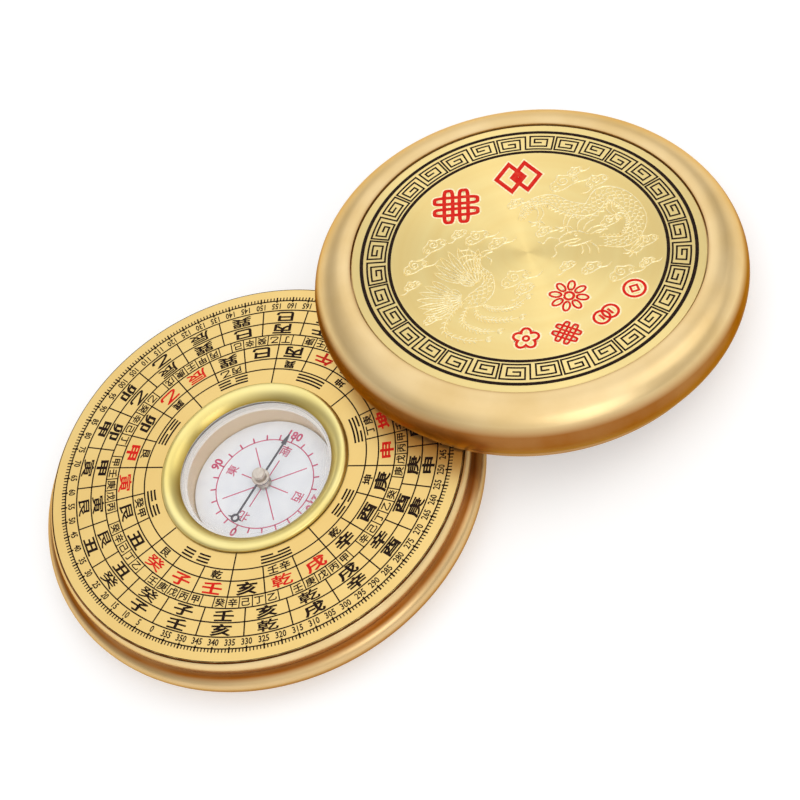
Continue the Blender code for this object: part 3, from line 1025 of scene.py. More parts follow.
@dataclass
class Capsule:
    """Clear capsule: its bezel, lens and cup, and the printed card on its floor.

    Each face is the width and height of a sign's em square, and how far its sides swell, in em.
    """

    bezel_outer: float = 21.2
    bezel_inner: float = 17.2
    bezel_foot: float = 12.9
    bezel_height: float = 0.8
    crown_width: float = 2.2
    inner_lip: float = 0.3
    neck: float = 18.5
    seat: float = 11.7
    seat_sink: float = 0.06
    radius: float = 17.8
    lens_bottom: float = 10.4
    lens_top: float = 11.4
    lens_edge: float = 0.12
    cup_inner: float = 16.3
    cup_rim: float = 10.1
    cup_bottom: float = 3.4
    cup_floor: float = 4.6
    cup_round: float = 0.5
    card_top: float = 5.3
    groove_in: float = 15.95
    groove_out: float = 16.75
    groove_edge: float = 0.03
    groove_depth: float = 0.12
    groove_fade: float = 0.15
    seat_inset: float = 0.05
    seat_slope: float = 0.15
    print_circle: float = 11.2
    print_width: float = 0.24
    tick_length: float = 1.3
    tick_width: float = 0.34
    short_line: float = 6.3
    long_line: float = 9.9
    name_circle: float = 8.9
    name_face: tuple[float, ...] = (2.7, 2.7, 0.008)
    number_circle: float = 13.1
    number_face: tuple[float, ...] = (2.7, 2.75, 0.03)
    columns: int = 192

    def bezel(self) -> Shape:
        """Return the bezel: a cubic slope up from the lens, and a quarter ellipse outside it."""
        half = self.crown_width / 2
        crown = arc((self.bezel_outer - half, self.bezel_foot), (half, self.bezel_height), 90.0, 0.0, 16)
        start = np.array([self.bezel_inner, self.seat + self.inner_lip])
        reach = crown[0] - start
        handles = [start, start + reach * (0.25, 0.4), crown[0] - reach * (0.42, 0.0), crown[0]]
        slope = np.vstack([start, cove(handles, 16)])
        below = [(self.neck, self.bezel_foot), (self.neck, self.seat), (self.bezel_inner, self.seat)]
        # Darkening: painted shade on the inner slope down to the lens and on the crown's outer edge, with
        # some oxide.
        runs = [
            (slope, np.linspace(0.95, 0.1, len(slope)) ** 1.4),
            (crown, np.linspace(0.0, 0.75, len(crown))),
            (below, 0.5),
        ]
        return turned(runs, self.columns, True)

    def lens(self) -> Shape:
        """Return the lens: a disc with a moulded groove near its edge and a seat for the bezel.

        Each row is a radius, a height and how frosted the acrylic is there.
        """
        top, seat, edge = self.lens_top, self.seat - self.seat_sink, self.lens_edge
        groove, ledge = self.lens_top - self.groove_depth, self.lens_top - self.groove_edge
        rows = [
            (0.0, top, 0.0),
            (self.groove_in - edge, top, 0.0),
            (self.groove_in, ledge, 0.3),
            (self.groove_in + edge, groove, 0.08),
            (self.groove_out - edge, groove, 0.06),
            (self.groove_out, ledge, 0.4),
            (self.groove_out + self.groove_fade, top, 0.1),
            (self.bezel_inner + self.seat_inset - self.seat_slope, top, 0.12),
            (self.bezel_inner + self.seat_inset, seat, 0.45),
            (self.radius - edge, seat, 0.45),
            (self.radius, top, 0.2),
            (self.radius, self.lens_bottom, 0.0),
            (0.0, self.lens_bottom, 0.0),
        ]
        table = np.array(rows)
        return turned([(table[:, :2], table[:, 2])], self.columns)

    def cup(self) -> Shape:
        """Return the cup: a floor and a wall with a rounded inner foot."""
        e = self.cup_round
        fillet = arc((self.cup_inner - e, self.cup_floor + e), e, -90.0, 0.0, 6)
        wall = [(self.cup_inner, self.cup_rim), (self.radius, self.cup_rim)]
        wall += [(self.radius, self.cup_bottom), (0.0, self.cup_bottom)]
        return turned([([(0.0, self.cup_floor)], 0.0), (fillet, 0.0), (wall, 0.0)], self.columns)

    def card_print(self) -> Print:
        """Return the card's print: a ticked circle, crossed lines, directions and numerals."""
        ink = Print(self.card_top)
        ink.ring(self.print_circle, self.print_width, 180)
        tick = (self.print_circle, self.print_circle + self.tick_length, self.tick_width)
        for step in range(24):
            ink.radial(15.0 * step, *tick)
        short, long = self.short_line, self.long_line
        for bearing, reach in ((0.0, short), (90.0, short), (45.0, long), (135.0, long)):
            ink.radial(bearing, reach, -reach, self.print_width)
        for quarter, sign in enumerate("北東南西"):
            ink.sign(sign, self.name_face, 90.0 * quarter, self.name_circle, facing=-1.0)
        for bearing in (0, 90, 180, 270):
            ink.sign(str(bearing), self.number_face, bearing, self.number_circle, facing=-1.0)
        return ink

    def build(self, finishes: dict[str, Material]) -> None:
        """Build the capsule's pieces.

        Args:
            finishes: The finishes of bezel, lens, cup, card and print.
        """
        bezel = write_piece("bezel_ring", self.bezel(), finishes["bezel"], "case", smooth=40.0, weld=True)
        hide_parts("capsule_bezel")
        lens = write_piece("clear_lens", self.lens(), finishes["lens"], "case", smooth=30.0, weld=True)
        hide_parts("capsule_lens")
        cup = write_piece("clear_cup", self.cup(), finishes["cup"], "case", smooth=50.0, weld=True)
        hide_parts("capsule_cup")
        dress("compass_card", finishes["card"])
        printed = write_piece("card_print", self.card_print().shape(), finishes["print"], "case")


@dataclass
class Needle:
    """Needle with its stepped hub, on its pin."""

    hub_bottom: float = 6.8
    flange: float = 0.5
    flange_radius: float = 1.6
    stem: float = 1.2
    collar_bottom: float = 7.95
    collar_top: float = 8.5
    collar_radius: float = 2.0
    waist: float = 0.95
    cap_bottom: float = 9.15
    cap_radius: float = 1.42
    cap_top: float = 10.0
    cap_bevel: float = 0.1
    bore: float = 0.75
    bore_top: float = 8.8
    edge: float = 0.22
    blade_low: float = 7.6
    blade_high: float = 7.9
    blade_width: float = 0.36
    eye: float = 1.72
    eye_width: float = 0.44
    south: float = 12.0
    arrow: float = 2.7
    arrow_width: float = 1.2
    arrow_tip: float = 0.2
    north: float = 10.8
    loop: float = 0.78
    loop_width: float = 0.42
    horn: float = 1.75
    horn_rise: float = 0.1
    horn_widths: tuple[float, float] = (0.4, 0.12)
    columns: int = 64

    def blade(self) -> Stock:
        """Return the blade: an eye, a shank with an arrow south, and a horned ring north."""
        steel = Stock()
        low, high = self.blade_low, self.blade_high
        steel.add(*band(self.eye, self.eye_width, low, high, self.columns))
        base = self.arrow - self.south
        south = np.array([(0, -self.eye), (0, base), (0, base - 0.01), (0, -self.south)])
        widths = (self.blade_width, self.blade_width, self.arrow_width, self.arrow_tip)
        steel.add(*stroke(south, widths, low, high))
        north = np.array([(0, self.eye), (0, self.north - self.loop)])
        steel.add(*stroke(north, self.blade_width, low, high))
        ring, faces = band(self.loop, self.loop_width, low, high, self.columns // 2)
        steel.add(ring + (0.0, self.north, 0.0), faces)
        for side in (-1.0, 1.0):
            tip = (side * self.horn, self.north + self.horn_rise)
            horn = np.array([(side * self.loop, self.north), tip])
            steel.add(*stroke(horn, self.horn_widths, low, high))
        return steel

    def hub(self) -> Shape:
        """Return the hub: a flange, a stem, a collar and a cap with rounded edges."""
        e, bevel = self.edge, self.cap_bevel
        cap = arc((self.cap_radius - e, self.cap_top - e), e, 90.0, 0.0, 6)
        collar = arc((self.collar_radius - e, self.collar_top - e), e, 90.0, 0.0, 6)
        waist = [(self.cap_radius, self.cap_bottom + bevel), (self.cap_radius - bevel, self.cap_bottom)]
        waist += [(self.waist, self.cap_bottom), (self.waist, self.collar_top)]
        foot = self.hub_bottom + self.flange
        rest = [(self.collar_radius, self.collar_bottom), (self.stem, self.collar_bottom)]
        rest += [(self.stem, foot), (self.flange_radius, foot)]
        rest += [(self.flange_radius, self.hub_bottom), (self.bore, self.hub_bottom)]
        rest += [(self.bore, self.bore_top), (0.0, self.bore_top)]
        parts = ([(0.0, self.cap_top)], cap, waist, collar, rest)
        return turned([(part, 0.0) for part in parts], self.columns)

    def build(self, nickel: Material, steel: Material, others: dict[str, Material]) -> None:
        """Build the hub and the blade, and dress the jewel and the pivot.

        Args:
            nickel: The hub's finish.
            steel: The blade's finish.
            others: The finish of each carried-over node.
        """
        hub = write_piece("nickel_hub", self.hub(), nickel, "needle", smooth=40.0, weld=True)
        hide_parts("needle_hub")
        blade = write_piece("blued_blade", self.blade().shape(), steel, "needle")
        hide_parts("needle_blade")
        for node, material in others.items():
            dress(node, material)


@dataclass
class Lid:
    """Turned lid with a broad round rim, and the disc in its recess."""

    plate_radius: float = 38.6
    clearance: float = 0.3
    rim_width: float = 8.7
    side_round: float = 7.35
    under_deg: float = 53.0
    skirt: float = 1.2
    rim_land: float = 2.0
    plate_sink: float = 0.4
    plate_thick: float = 0.9
    web: float = 1.9
    corner: float = 1.5
    plate_edge: float = 0.1
    overlap: float = 18.8
    bearing: float = 207.3
    dial_radius: float = 46.6
    dial_z: float = 12.6
    columns: int = 288

    def __post_init__(self) -> None:
        """Work out the radii and heights that follow."""
        self.recess = self.plate_radius + self.clearance
        self.round_r = self.recess + self.rim_width - self.side_round
        under = math.radians(self.under_deg)
        self.round_z = self.skirt + self.side_round * math.sin(under)
        self.rim_radius = self.round_r + self.side_round * math.cos(under)
        self.mouth = self.rim_radius - self.rim_land
        share = (self.recess - self.round_r) / self.side_round
        self.inner_deg = math.degrees(math.acos(share))
        edge_z = self.round_z + self.side_round * math.sqrt(1.0 - share ** 2)
        self.top = edge_z - self.plate_sink
        self.plate_bottom = self.top - self.plate_thick
        self.recess_z = self.plate_bottom - self.clearance
        self.ceiling = self.recess_z - self.web

    def place(self) -> Matrix:
        """Return how the lid lies: far side on the table, near side on the dial's edge."""
        reach = self.dial_radius + self.rim_radius - self.overlap
        hole = self.dial_radius + self.clearance
        lean = 0.0
        for _ in range(12):
            across = self.mouth * math.cos(lean)
            a, b = across ** 2 - self.mouth ** 2, 2 * reach * across
            c = reach ** 2 + self.mouth ** 2 - hole ** 2
            cosine = -2 * c / (b + math.sqrt(b * b - 4 * a * c))
            lean = math.asin(self.dial_z / (self.rim_radius - cosine * self.mouth))
        height = self.clearance + self.rim_radius * math.sin(lean)
        b = math.radians(self.bearing)
        outward = Vector((math.sin(b), math.cos(b), 0.0))
        axis = Vector((0.0, 0.0, 1.0)).cross(outward)
        move = Matrix.Translation((outward * reach + Vector((0.0, 0.0, height))) * MM)
        return move @ Matrix.Rotation(lean, 4, axis)

    def shell(self) -> Shape:
        """Return the shell: a circle's arc outside, darker below by oxide and painted shade, and a rounded
        hollow inside.
        """
        centre = (self.round_r, self.round_z)
        side = arc(centre, self.side_round, self.inner_deg, -self.under_deg, 60)
        angles = np.linspace(self.inner_deg, -self.under_deg, 60)
        # Darkening round the side: part oxide, part painted shade and painted dark reflection on the lower
        # side; the first two points are painted shade on the recess wall.
        side_oxide_and_shade = np.interp(angles, (-40.0, -5.0, 20.0, 38.0), (0.5, 0.95, 0.95, 0.0))
        side_oxide_and_shade[:2] = (0.4, 0.1)
        inner = (self.mouth - self.corner, self.ceiling - self.corner)
        corner = arc(inner, self.corner, 0.0, 90.0, 10)
        # The recess floor, the underside and the hollow are darkened with painted shade and oxide.
        runs = [
            ([(0.0, self.recess_z), (self.recess, self.recess_z)], 0.2),
            (side, side_oxide_and_shade),
            ([(self.rim_radius, 0.0), (self.mouth, 0.0)], 0.7),
            (corner, 0.5),
            ([(0.0, self.ceiling)], 0.5),
        ]
        return turned(runs, self.columns)

    def disc(self) -> Shape:
        """Return the disc, with rings of points so that its grain is even."""
        radii = np.linspace(0.0, self.plate_radius - self.plate_edge, 12)
        face = [(radius, self.top) for radius in radii]
        rest = [(self.plate_radius, self.top - self.plate_edge)]
        rest += [(self.plate_radius, self.plate_bottom), (0.0, self.plate_bottom)]
        return turned([(face + rest, 0.0)], self.columns)

    def build(self, brass: Material, gilt: Material) -> None:
        """Turn the lid and its disc in place of the plain ones.

        Args:
            brass: The shell's finish.
            gilt: The disc's finish.
        """
        place = self.place()
        shell = write_piece("turned_lid", self.shell(), brass, "lid", place, 40.0, True)
        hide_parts("lid_shell")
        disc = write_piece("spun_disc", self.disc(), gilt, "lid", place, 30.0, True)
        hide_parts("lid_plate")


def ring_path(size: float, bumps: int = 0, depth: float = 0.0, count: int = 48) -> np.ndarray:
    """Return a closed path r = size / 2 * (1 + depth * |cos(bumps * a / 2)|) round the middle.

    Args:
        size: Its width where it has no bumps.
        bumps: How many petals it has.
        depth: How far they reach out, as a share of the radius.
        count: How many points go round.

    Returns:
        One (x, y) pair a row, the last one equal to the first.
    """
    a = np.linspace(0.0, TAU, count + 1)
    return polar(np.degrees(a), size / 2 * (1.0 + depth * np.abs(np.cos(bumps * a / 2))))


def diamond(x: float, wide: float, tall: float) -> np.ndarray:
    """Return a closed rhombus that starts in the middle of a side, so its corners are mitred."""
    middle = (x + wide / 2, -tall / 2)
    return np.array([middle, (x + wide, 0), (x, tall), (x - wide, 0), (x, -tall), middle], float)


def slot_path(x: float, y: float, wide: float, tall: float) -> np.ndarray:
    """Return a closed rounded slot: x = wide |cos a|^0.4, y = tall |sin a|^0.4 with their signs."""
    unit = arc((0.0, 0.0), 1.0, 0.0, 360.0, 41)
    return np.sign(unit) * np.abs(unit) ** 0.4 * (wide, tall) + (x, y)


@lru_cache(maxsize=None)
def mark_paths(figure: str, s: float) -> list[tuple[np.ndarray, float]]:
    """Return the strokes of one traditional ornament, as paths and widths.

    Args:
        figure: Which ornament.
        s: How wide it is.

    Returns:
        Each stroke's path about the ornament's middle, and its width.
    """
    pair = (-1, 1)
    if figure == "knot":
        turn = np.array([[1.0, 1.0], [-1.0, 1.0]]) / math.sqrt(2.0)
        loops = [slot_path(0.0, side * 0.17 * s, 0.48 * s, 0.095 * s) for side in pair]
        loops += [loop[:, ::-1] for loop in loops]
        return [(loop @ turn, 0.085 * s) for loop in loops]
    if figure == "lozenges":
        sides = [diamond(side * 0.17 * s, 0.3 * s, 0.4 * s) for side in pair]
        return [(path, 0.095 * s) for path in [*sides, diamond(0.0, 0.07 * s, 0.1 * s)]]
    if figure == "blossom":
        return [(ring_path(0.62 * s, 5, 0.55, 60), 0.1 * s), (ring_path(0.22 * s), 0.09 * s)]
    if figure == "rings":
        loops = [ring_path(0.58 * s) + (side * 0.2 * s, 0.0) for side in pair]
        bars = [np.array([(side * 0.2 * s, -0.14 * s), (side * 0.2 * s, 0.14 * s)]) for side in pair]
        return [(path, 0.095 * s) for path in loops + bars]
    if figure == "coin":
        return [(ring_path(0.86 * s), 0.11 * s), (diamond(0.0, 0.2 * s, 0.2 * s), 0.09 * s)]
    petals = [(ring_path(0.24 * s), 0.07 * s)]
    t = np.linspace(0.0, 1.0, 15)
    leaf = np.stack([0.085 * s * np.sin(TAU * t), 0.34 * s - 0.15 * s * np.cos(TAU * t)], axis=-1)
    for a in TAU * np.arange(8) / 8:
        turn = np.array([[math.cos(a), -math.sin(a)], [math.sin(a), math.cos(a)]])
        petals.append((leaf @ turn, 0.055 * s))
    return petals


@dataclass
class LidPrint:
    """What is printed on the lid's disc: a key-fret band between two rings, and red marks.

    Each figure is its name, its width, its ring's radius, its bearing and which way it faces.
    """

    lid: Lid
    outer_ring: float = 36.4
    outer_width: float = 0.78
    inner_ring: float = 30.3
    inner_width: float = 0.72
    fret_outer: float = 35.14
    fret_inner: float = 31.22
    fret_width: float = 0.4
    pair_gap: float = 1.15
    pairs: int = 16
    first_bearing: float = 3.0
    ground_swell: float = 0.75
    stroke_lift: float = 0.004
    figures: tuple = (
        ("knot", 10.0, 21.8, 103.3, -1.0),
        ("lozenges", 10.4, 22.8, 144.8, -1.0),
        ("blossom", 5.8, 24.2, 331.0, 1.0),
        ("knot", 5.8, 24.6, 310.7, 1.0),
        ("rings", 6.0, 24.9, 288.5, 1.0),
        ("coin", 5.4, 25.6, 267.7, 1.0),
        ("rosette", 8.6, 15.7, 296.1, 1.0),
    )

    def fret_path(self, start: float, end: float) -> np.ndarray:
        """Return one pair of linked square spirals as a path on the disc.

        The corners are shares of a cell, across the band and along it; each side between two
        corners is divided evenly, so that it bends with the band.

        Args:
            start: The bearing where the pair starts.
            end: The bearing where it ends.

        Returns:
            The path's (x, y) pairs.
        """
        first = [(.5, .35), (.5, .62), (.78, .62), (.78, .15), (.22, .15), (.22, .8), (1, .8)]
        first += [(1, 0), (0, 0), (0, 1)]
        second = [(1, 0), (1, 1), (0, 1), (0, .17), (.78, .17), (.78, .79), (.23, .79)]
        second += [(.23, .33), (.5, .33), (.5, .6)]
        corners = np.array(first + [(v, u + 1.0) for v, u in second], float)
        places = np.arange(len(corners))
        t = np.linspace(0.0, places[-1], 4 * places[-1] + 1)
        across, along = (np.interp(t, places, column) for column in corners.T)
        bearings = start + (end - start) * along / 2.0
        return polar(bearings, self.fret_outer + (self.fret_inner - self.fret_outer) * across)

    def band(self) -> Print:
        """Return the fret and its two rings."""
        ink = Print(self.lid.top)
        ink.ring(self.outer_ring, self.outer_width)
        ink.ring(self.inner_ring, self.inner_width)
        pitch = 360.0 / self.pairs
        for pair in range(self.pairs):
            start = self.first_bearing + pitch * pair + self.pair_gap / 2
            ink.line(self.fret_path(start, start + pitch - self.pair_gap), self.fret_width)
        return ink

    def marks(self, swell: float, extra: float) -> Print:
        """Return the red ornaments, or with a swell the raised ground that each stands on.

        Args:
            swell: How much wider each stroke is.
            extra: How much thicker than ink the strokes are.

        Returns:
            The strokes, each a trace higher than the last, so that no two tops coincide.
        """
        ink = Print(self.lid.top, extra)
        for figure, size, radius, bearing, facing in self.figures:
            for order, (path, width) in enumerate(mark_paths(figure, size)):
                points, faces = stroke(path, width + swell, ink.low, ink.high + self.stroke_lift * order)
                ink.add(on_ring(points, bearing, radius, facing), faces)
        return ink

    def build(self, black: Material, red: Material, frosted: Material) -> None:
        """Print the lid's disc.

        Args:
            black: The black enamel.
            red: The red enamel.
            frosted: The finish of the raised ground round each red ornament.
        """
        place = self.lid.place()
        pieces = {
            "lid_fret_band": (self.band(), black),
            "lid_red_ornaments": (self.marks(0.0, INK_RAISE), red),
            "lid_ornament_grounds": (self.marks(self.ground_swell, 0.0), frosted),
        }
        for name, (stock, material) in pieces.items():
            piece = write_piece(name, stock.shape(), material, "lid", place)


def heading(degrees: float) -> tuple[np.ndarray, np.ndarray]:
    """Return the unit vector at an angle from x, and the one to its left."""
    a = math.radians(degrees)
    return np.array([math.cos(a), math.sin(a)]), np.array([-math.sin(a), math.cos(a)])


def sides(line: np.ndarray) -> tuple[np.ndarray, np.ndarray]:
    """Return a path's unit direction at each point, and the unit vector to its left."""
    along = np.gradient(line, axis=0) / np.hypot(*np.gradient(line, axis=0).T)[:, None]
    return along, np.stack([-along[:, 1], along[:, 0]], axis=-1)


def stretched(values: Sequence[float], count: int) -> np.ndarray:
    """Return evenly placed values as a column of another length, straight in between."""
    return np.interp(np.linspace(0, 1, count), np.linspace(0, 1, len(values)), values)[:, None]


@dataclass
class Relief:
    """Dragon and phoenix among clouds, struck in fine raised wires on the lid's disc.

    Places are in millimetres in the artwork's own frame, x to its right and y to its top.
    Each cloud is its place, its size, and 1 or -1 for drifting to the right or to the left.
    """

    lid: Lid
    art_up: float = 118.0
    wire_width: float = 0.36
    rise: float = 0.13
    crown_share: float = 0.35
    dragon_spine: tuple = (
        (3.6, 9.2), (7.6, 11.8), (12.2, 10.6), (14.2, 6.2), (17.8, 2.8),
        (22.8, 5.0), (25.6, 0.6), (24.6, -6.2), (19.2, -9.6), (14.2, -6.4),
    )
    dragon_girth: tuple = (0.3, 1.0, 1.5, 1.75, 1.9, 2.0, 1.95, 1.8, 1.6, 1.25)
    dragon_head: tuple = (
        ((13.6, -3.4), (12.0, -1.0), (9.8, -0.3), (7.7, -0.7), (7.3, -1.7), (8.2, -2.1)),
        ((13.2, -5.2), (11.2, -4.9), (9.2, -4.3), (8.2, -3.4), (8.8, -3.0)),
        ((8.2, -2.1), (9.8, -2.5), (11.4, -3.2)),
        ((11.4, -3.6), (9.8, -3.5), (8.6, -3.0), (7.0, -3.3)),
        ((10.2, -0.9), (11.4, -0.6), (12.6, -1.5)),
        ((12.2, -0.9), (13.6, 0.9), (15.8, 1.5)),
        ((13.0, -1.8), (14.8, -0.5), (17.0, -0.4)),
        ((7.6, -0.9), (6.0, 0.9), (4.2, 0.2), (3.4, 1.4)),
        ((7.4, -1.9), (5.6, -2.2), (4.8, -4.0), (3.2, -4.4)),
        ((10.6, -5.0), (10.0, -6.6), (9.0, -7.4)),
        ((11.6, -5.2), (11.4, -7.0), (10.6, -8.2)),
        ((12.6, -5.6), (13.0, -7.6), (12.4, -9.2)),
        ((13.4, -2.6), (15.6, -2.2), (17.8, -3.0)),
        ((13.8, -3.6), (16.0, -3.6), (17.8, -4.6)),
    )
    dragon_legs: tuple = (
        ((15.2, 4.6), (12.4, 3.4), (10.6, 1.6)),
        ((24.0, 3.2), (21.4, 0.6), (21.2, -2.0)),
        ((22.8, -8.6), (21.6, -11.6), (18.4, -12.8)),
        ((9.0, 11.0), (8.6, 8.2), (6.6, 6.4)),
    )
    phoenix_neck: tuple = (
        (-8.6, 5.4), (-10.2, 4.6), (-11.0, 2.2), (-10.6, -0.8),
        (-12.6, -3.6), (-16.2, -4.8), (-19.2, -4.6),
    )
    phoenix_girth: tuple = (0.5, 0.7, 0.8, 1.1, 1.9, 2.1, 0.8)
    phoenix_head: tuple = (
        ((-8.2, 6.0), (-6.8, 5.8), (-6.0, 4.8), (-7.2, 5.0), (-8.6, 4.6)),
        ((-9.2, 6.0), (-10.0, 8.2), (-12.0, 9.2)),
        ((-9.6, 5.8), (-11.2, 7.2), (-13.2, 7.4)),
        ((-10.0, 5.2), (-11.8, 5.8), (-13.4, 5.2)),
        ((-8.0, 4.4), (-7.6, 2.8), (-8.6, 1.8)),
    )
    phoenix_tails: tuple = (
        ((-18.6, -4.2), (-22.6, -5.2), (-26.2, -8.6), (-23.8, -13.2), (-20.4, -15.6)),
        ((-18.2, -5.2), (-21.6, -8.4), (-20.6, -12.2), (-17.2, -15.0)),
        ((-17.2, -6.2), (-18.0, -9.6), (-15.2, -12.6), (-11.4, -14.6)),
        ((-15.8, -6.6), (-14.6, -9.2), (-11.2, -11.2), (-7.4, -11.0)),
    )
    dragon_clouds: tuple = (
        (17.6, 13.4, 1.9, 1.0), (23.6, 9.4, 1.4, -1.0), (19.4, -2.4, 1.3, -1.0), (6.2, 3.4, 1.1, 1.0),
        (22.6, -12.0, 1.3, -1.0), (13.2, -16.4, 1.6, 1.0), (8.8, -11.4, 1.3, 1.0), (4.8, -8.0, 1.0, -1.0),
        (5.6, 14.2, 1.1, 1.0), (19.2, -17.2, 1.0, 1.0), (21.4, 14.6, 1.0, 1.0),
    )
    phoenix_clouds: tuple = (
        (-22.0, 11.4, 1.5, 1.0), (-15.6, 14.2, 1.5, -1.0), (-6.6, 10.8, 1.5, 1.0),
        (-6.2, -4.2, 1.8, 1.0), (-25.4, 7.0, 1.0, -1.0), (-6.2, -8.0, 1.2, -1.0),
        (-27.0, -3.8, 0.9, 1.0), (-3.8, 6.6, 1.2, 1.0), (-9.4, 13.8, 1.0, -1.0),
    )
    metal: Stock = field(default_factory=Stock)

    def wire(self, path: np.ndarray, share: float = 1.0) -> None:
        """Add one wire that is thin at both ends, turned from the artwork's frame to the disc's.

        Args:
            path: The wire's path.
            share: Its width and height, as shares of the usual ones.
        """
        t = np.linspace(0.0, 1.0, len(path))
        width = self.wire_width * share * (0.45 + 0.55 * np.sin(np.pi * t) ** 0.5)
        right, up = heading(-self.art_up)
        placed = path[:, :1] * right + path[:, 1:2] * up
        low, high = self.lid.top - INK_SINK, self.lid.top + self.rise * share
        self.metal.add(*stroke(placed, width, low, high, self.crown_share))

    def body(self, spine: Sequence, girth: Sequence[float], rows: int, pitch: float) -> None:
        """Add a scaled body: two edges, and rows of half-round scales between them.

        A scale is half an ellipse that bulges towards the tail, where the body starts.

        Args:
            spine: The points of its middle line, from the tail.
            girth: Its half width at each of them.
            rows: How many rows of scales lie side by side.
            pitch: How far apart they follow each other.
        """
        fine = spline(spine, 200)
        length = np.concatenate([[0.0], np.cumsum(np.hypot(*np.diff(fine, axis=0).T))])
        count = int(length[-1] / pitch)
        places = np.linspace(0.0, length[-1], count)
        line = np.stack([np.interp(places, length, column) for column in fine.T], axis=-1)
        half = stretched(girth, count)
        along, side = sides(line)
        self.wire(line + side * half)
        self.wire(line - side * half)
        phi = np.linspace(0.0, np.pi, 6)[:, None]
        for station in range(2, count - 1):
            for row in range(rows):
                middle = (row + 0.5 + 0.5 * (station % 2)) / rows * 2.0 - 1.0
                if abs(middle) > 0.9:
                    continue
                centre = line[station] + side[station] * half[station] * middle
                across = np.cos(phi) * side[station] * half[station] / rows
                self.wire(centre + across - np.sin(phi) * along[station] * pitch, 0.75)

    def fins(self) -> None:
        """Add the dragon's row of fins: a zigzag between the back's edge and a line past it."""
        line = spline(self.dragon_spine, 110)
        tall = np.where(np.arange(110) % 2, 0.95, 0.15)[:, None]
        self.wire(line - sides(line)[1] * (stretched(self.dragon_girth, 110) + tall), 0.8)

    def claw(self, leg: Sequence[Sequence[float]]) -> None:
        """Add a leg of two edges that ends in four curved claws.

        Args:
            leg: The points of its middle line, from the body.
        """
        line = spline(leg, 12)
        ahead, left = (way[-1] for way in sides(line))
        for sign in (-1.0, 1.0):
            self.wire(line + sign * left * np.linspace(0.9, 0.35, 12)[:, None])
        for spread in (-75.0, -25.0, 25.0, 75.0):
            out, bend = heading(math.degrees(math.atan2(ahead[1], ahead[0])) + spread)
            tip = [line[-1], line[-1] + 1.0 * out + 0.35 * bend, line[-1] + 2.0 * out - 0.1 * bend]
            self.wire(spline(tip, 7), 1.1)

    def cloud(self, x: float, y: float, size: float, hand: float) -> None:
        """Add one curling cloud: three spirals, a brow over them and a drifting tail.

        Args:
            x: Its place to the artwork's right.
            y: Its place to the artwork's top.
            size: The radius of its largest spiral.
            hand: 1 or -1, for a cloud that drifts to the right or to the left.
        """
        curls = ((0.0, 0.0, 1.0, 1.6), (-1.35, -0.45, 0.7, 1.4), (1.25, -0.55, 0.62, -1.4))
        for dx, dy, part, turns in curls:
            centre = (x + hand * dx * size, y + dy * size)
            self.wire(scroll(centre, size * part * 0.8, 90.0, hand * turns, 18), 0.9)
        brow = [(-2.1, -0.6), (-1.5, 0.35), (-0.7, 0.5), (0.0, 1.1), (0.8, 0.5), (1.6, 0.2), (2.0, -0.7)]
        tail = [(-2.0, -0.9), (-0.6, -1.2), (1.0, -1.1), (2.4, -1.5), (3.4, -1.2)]
        for line in (brow, tail):
            self.wire(spline(np.array(line) * (hand * size, size) + (x, y), 16), 0.9)

    def feather(self, root: np.ndarray, angle: float, length: float) -> None:
        """Add one feather: a leaf whose half width goes as sin(pi t^1.3)^0.7, and its shaft.

        Args:
            root: Where it grows.
            angle: Its heading in degrees.
            length: Its length.
        """
        out, left = heading(angle)
        t = np.linspace(0.0, 1.0, 9)[:, None]
        middle = root + t * length * out - 0.12 * length * t ** 2 * left
        half = 0.72 * np.sin(np.pi * t ** 1.3) ** 0.7
        for sign in (-1.0, 1.0):
            self.wire(middle + sign * half * left, 0.85)
        self.wire(middle[:7], 0.7)

    def wing(self, root: Sequence[float], first: float, last: float, length: float) -> None:
        """Add a wing: two fans of feathers, long ones under short ones.

        Args:
            root: Where the feathers grow.
            first: The heading of the first feather in degrees.
            last: The heading of the last one.
            length: The length of the longest.
        """
        for count, reach, offset in ((7, 0.85, 3.4), (6, 0.42, 1.3)):
            for angle in np.linspace(first, last, count):
                swell = 0.8 + 0.2 * math.sin(math.pi * (angle - first) / (last - first))
                self.feather(np.array(root) + offset * heading(angle)[0], angle, length * reach * swell)

    def plume(self, points: Sequence[Sequence[float]]) -> None:
        """Add one tail plume: a shaft with short barbs on both sides, and an eye at its end.

        Args:
            points: The points of its shaft, from the body.
        """
        line = spline(points, 34)
        along, side = sides(line)
        self.wire(line)
        reach = 0.9 * np.sin(np.pi * np.linspace(0.05, 0.9, 34)) ** 0.5
        for at in range(2, 30, 2):
            for sign in (-1.0, 1.0):
                tip = line[at] + (sign * side[at] + 0.9 * along[at]) * reach[at]
                middle = line[at] + (sign * 0.6 * side[at] + 0.3 * along[at]) * reach[at]
                self.wire(spline([line[at], middle, tip], 4), 0.8)
        for radius in (0.95, 0.45):
            self.wire(scroll(line[-1] + along[-1] * 0.9, radius, 0.0, 1.0, 14), 0.9)

    def dragon(self) -> None:
        """Draw the dragon with the clouds on its side."""
        self.body(self.dragon_spine, self.dragon_girth, 3, 0.95)
        self.fins()
        for line in self.dragon_head:
            self.wire(spline(line, 6 * len(line)), 1.05)
        self.wire(scroll((11.2, -1.9), 0.5, 0.0, 1.2, 12))
        for leg in self.dragon_legs:
            self.claw(leg)
        for cloud in self.dragon_clouds:
            self.cloud(*cloud)

    def phoenix(self) -> None:
        """Draw the phoenix with the clouds on its side."""
        self.body(self.phoenix_neck, self.phoenix_girth, 3, 0.9)
        for line in self.phoenix_head:
            self.wire(spline(line, 6 * len(line)))
        self.wire(scroll((-8.7, 5.4), 0.3, 0.0, 1.0, 8))
        self.wing((-13.6, -2.2), 65.0, 128.0, 11.0)
        self.wing((-17.4, -3.4), 118.0, 186.0, 8.8)
        for points in self.phoenix_tails:
            self.plume(points)
        for cloud in self.phoenix_clouds:
            self.cloud(*cloud)

